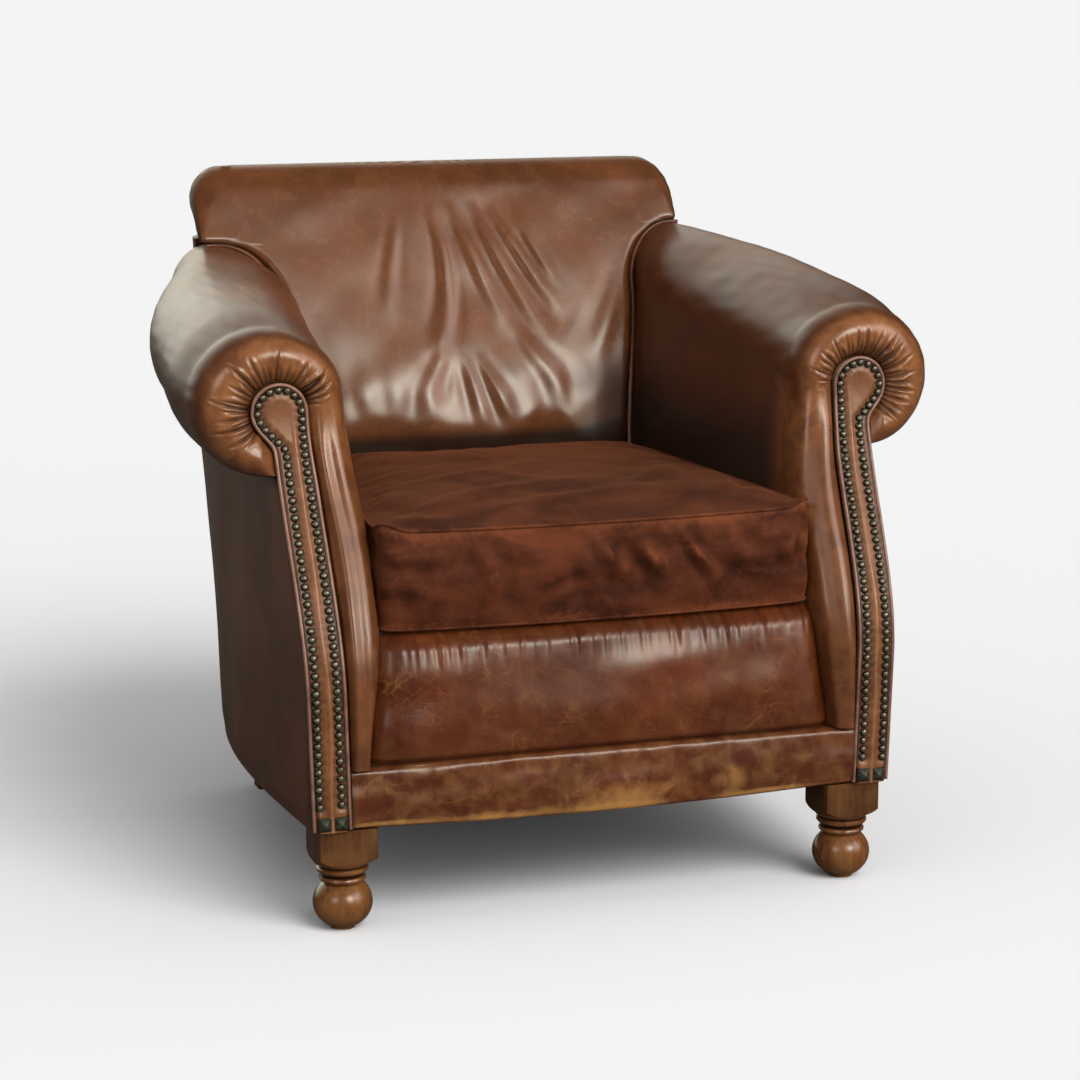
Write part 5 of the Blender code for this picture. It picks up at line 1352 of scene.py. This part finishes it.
def front_foot(side):
    low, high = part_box("front_foot_right")
    cx, cd = (low.x + high.x) / 2, (low.y + high.y) / 2 - FRONT_Y
    sides = 72
    turn = np.radians(np.linspace(-66.0, 50.0, 24))
    ball = np.stack([BALL_R * np.cos(turn), BALL_Z + BALL_Z * np.sin(turn), 0 * turn], -1)
    profile = np.concatenate([[(0.0135, 0.0, 0.3)], ball, RINGS])
    ring = np.radians(np.arange(sides) * 360.0 / sides)
    ring = np.stack([np.cos(ring), np.sin(ring)], -1)
    verts, marks = [], []
    for radius, z, groove in profile:
        verts += [(cx + radius * a, cd + radius * b, z) for a, b in ring]
        marks += [groove] * sides
    # square block: its lower corners are turned off to a deep round shoulder
    half = (high.x - low.x) / 2 - 0.0004
    reach = half / np.abs(ring).max(axis=1)
    reach *= 1.0 - 0.045 * smooth((reach / half - 1.30) / 0.12)
    bend = [math.pi / 2 * k / SHOULDER_N for k in range(SHOULDER_N + 1)]
    shoulder = [(SHOULDER_R + SHOULDER_OUT * math.sin(b),
                 SHOULDER_Z + SHOULDER_UP * (1 - math.cos(b))) for b in bend]
    for limit, z in shoulder + [(BLOCK_REACH, BLOCK_Z), (BLOCK_REACH, high.z)]:
        for (a, b), wide in zip(ring, reach):
            if wide > limit:
                verts.append((cx + a * limit, cd + b * limit, z))
            else:
                # this side's edge was met lower down, where the turning left the flat
                part = min(1.0, max(0.0, (wide - SHOULDER_R) / SHOULDER_OUT))
                met = SHOULDER_Z + SHOULDER_UP * (1 - math.sqrt(1 - part * part))
                verts.append((cx + a * wide, cd + b * wide, met if limit < BLOCK_REACH else z))
            marks.append(0.50)
    total = len(verts) // sides
    put("foot", verts, capped_faces(total, sides), {"shade_and_stain": marks, "wear_and_highlight": 0.0}, side)


# --- CAD pieces that stay in view ---
def dress_frame():
    """The frame, webbing and lining keep their CAD shapes and get the finish of the real stuff."""
    slots = {s["node"]: s["material_slot"] for s in frame["record"]["subparts"]}
    finishes = {"plain_beech": FRAME_WOOD, "jute_webbing": JUTE, "black_cloth": LINING,
                "waxed_leather": ARM_HIDE, "dark_leather": SIDE_HIDE,
                "napped_leather": CUSHION_HIDE, "antique_brass": BRASS,
                "polished_beech": TURNED_WOOD}
    for name, made in frame["nodes"].items():
        mat = LEG_WOOD if name.startswith("back_post") else finishes[slots[name]]
        made.data.materials.clear()
        made.data.materials.append(mat)


# --- stage ---
def floor():
    """Pale sweep. The camera sees it white; the hide is lit by a quieter one, and mirrors it as
    the greenish grey of a studio wall."""
    mesh = bpy.data.meshes.new("floor")
    wide = 120.0
    mesh.from_pydata([(-wide, -wide, 0), (wide, -wide, 0), (wide, wide, 0), (-wide, wide, 0)], [],
                     [(0, 1, 2, 3)])
    made = add_object("floor", mesh)
    mat, tree, paint = blank("studio_floor")
    glossy = node(tree, "LightPath", {}, "Is Glossy Ray")
    direct = node(tree, "LightPath", {}, "Is Camera Ray")
    tone = node(tree, "Mix", {0: glossy, 6: (0.26, 0.22, 0.19, 1.0),
                                        7: (0.08, 0.08, 0.07, 1.0)}, 2, data_type="RGBA")
    tone = node(tree, "Mix", {0: direct, 6: tone, 7: (0.80, 0.80, 0.80, 1.0)}, 2,
                data_type="RGBA")
    plug(tree, paint, {"Base Color": tone, "Roughness": 1.0, "Specular IOR Level": 0.0})
    mesh.materials.append(mat)


# Soft bright parts of the room that the hide mirrors: direction, inner and outer half angle in
# degrees, colour and strength
PATCHES = (
    ((-0.36, 0.87, 0.34), 10, 40, "dfe0d0", 2.40),
    ((0.10, 0.90, 0.42), 12, 34, "d3d0c0", 1.65),
    ((0.28, -0.84, 0.45), 6, 15, "f4f6e8", 15.0),
    ((-0.66, -0.66, 0.40), 5, 18, "fff0e8", 4.50),
    ((0.70, -0.56, 0.44), 8, 26, "fff0e8", 4.50),
)


# Broad lamps: name, turns about x and y in degrees, strength, spread in degrees
LAMPS = (
    ("overhead_light", 44.0, 20.0, 1.62, 34.0),
    ("front_light", 58.0, 38.0, 1.60, 60.0),
    ("room_light", 38.0, 8.0, 1.75, 150.0),
)


def soft_lamp(name, turn_x, turn_y, energy, spread):
    """Broad lamp that only lights the matt part of a surface: what the wax mirrors is the
    room."""
    lamp = bpy.data.lights.new(name, "SUN")
    lamp.energy = energy
    lamp.angle = math.radians(spread)
    made = add_object(name, lamp)
    made.rotation_euler = (math.radians(turn_x), math.radians(turn_y), 0.0)
    made.visible_glossy = False


def light():
    """A plain backdrop for the camera, a dim even room, and bright patches that only show as
    reflections in shiny surfaces."""
    world = bpy.data.worlds.new("studio")
    bpy.context.scene.world = world
    world.use_nodes = True
    tree = world.node_tree
    heading = node(tree, "TexCoord", {}, "Generated")
    glossy = node(tree, "LightPath", {}, "Is Glossy Ray")
    direct = node(tree, "LightPath", {}, "Is Camera Ray")
    room = (0.035, 0.033, 0.030, 1.0)
    for toward, inner, outer, colour, strength in PATCHES:
        aim = np.array(toward) / np.linalg.norm(toward)
        facing = node(tree, "VectorMath", {0: heading, 1: tuple(aim)}, "Value",
                      operation="DOT_PRODUCT")
        amount = node(tree, "MapRange", {
            0: facing, 1: math.cos(math.radians(outer)), 2: math.cos(math.radians(inner)),
            4: math.sqrt(strength)})
        amount = node(tree, "Math", {0: amount, 1: amount}, operation="MULTIPLY")
        patch = node(tree, "Mix", {0: 1.0, 6: srgb(colour), 7: amount}, 2,
                     data_type="RGBA", blend_type="MULTIPLY")
        room = node(tree, "Mix", {0: 1.0, 6: room, 7: patch}, 2, data_type="RGBA",
                    blend_type="ADD")
    seen = node(tree, "Mix", {0: glossy, 6: (0.115, 0.115, 0.115, 1.0), 7: room}, 2,
                data_type="RGBA")
    seen = node(tree, "Mix", {0: direct, 6: seen, 7: (0.887, 0.887, 0.887, 1.0)}, 2,
                data_type="RGBA")
    plug(tree, tree.nodes["Background"], {"Color": seen, "Strength": 1.0})
    for lamp in LAMPS:
        soft_lamp(*lamp)


def camera():
    """Long lens in front of the chair, to its left and a little above its top."""
    lens = bpy.data.cameras.new("camera")
    lens.lens, lens.sensor_width, lens.clip_end = 100.0, 36.0, 300.0
    made = add_object("camera", lens)
    made.location = (-1.094, -3.06 + FRONT_Y, 1.078)
    made.rotation_euler = (math.radians(90.0 - 11.35), 0.0, math.radians(-18.30))
    bpy.context.scene.camera = made


def make_chair():
    dress_frame()
    for k, side in enumerate(("left", "right")):
        arm(side, 100 + 40 * k)
        facing_panel(side, 120 + k)
        facing_welt(side)
        nails(side, 130 + k)
        pyramid_studs(side)
        outside_arm(side, 140 + 5 * k)
        back_welt(side)
        front_foot(side)
    inside_back()
    seat_cushion()
    front_border()
    front_band()
    outside_back()


make_chair()
floor()
light()
camera()
bpy.context.scene.view_settings.view_transform = "Standard"
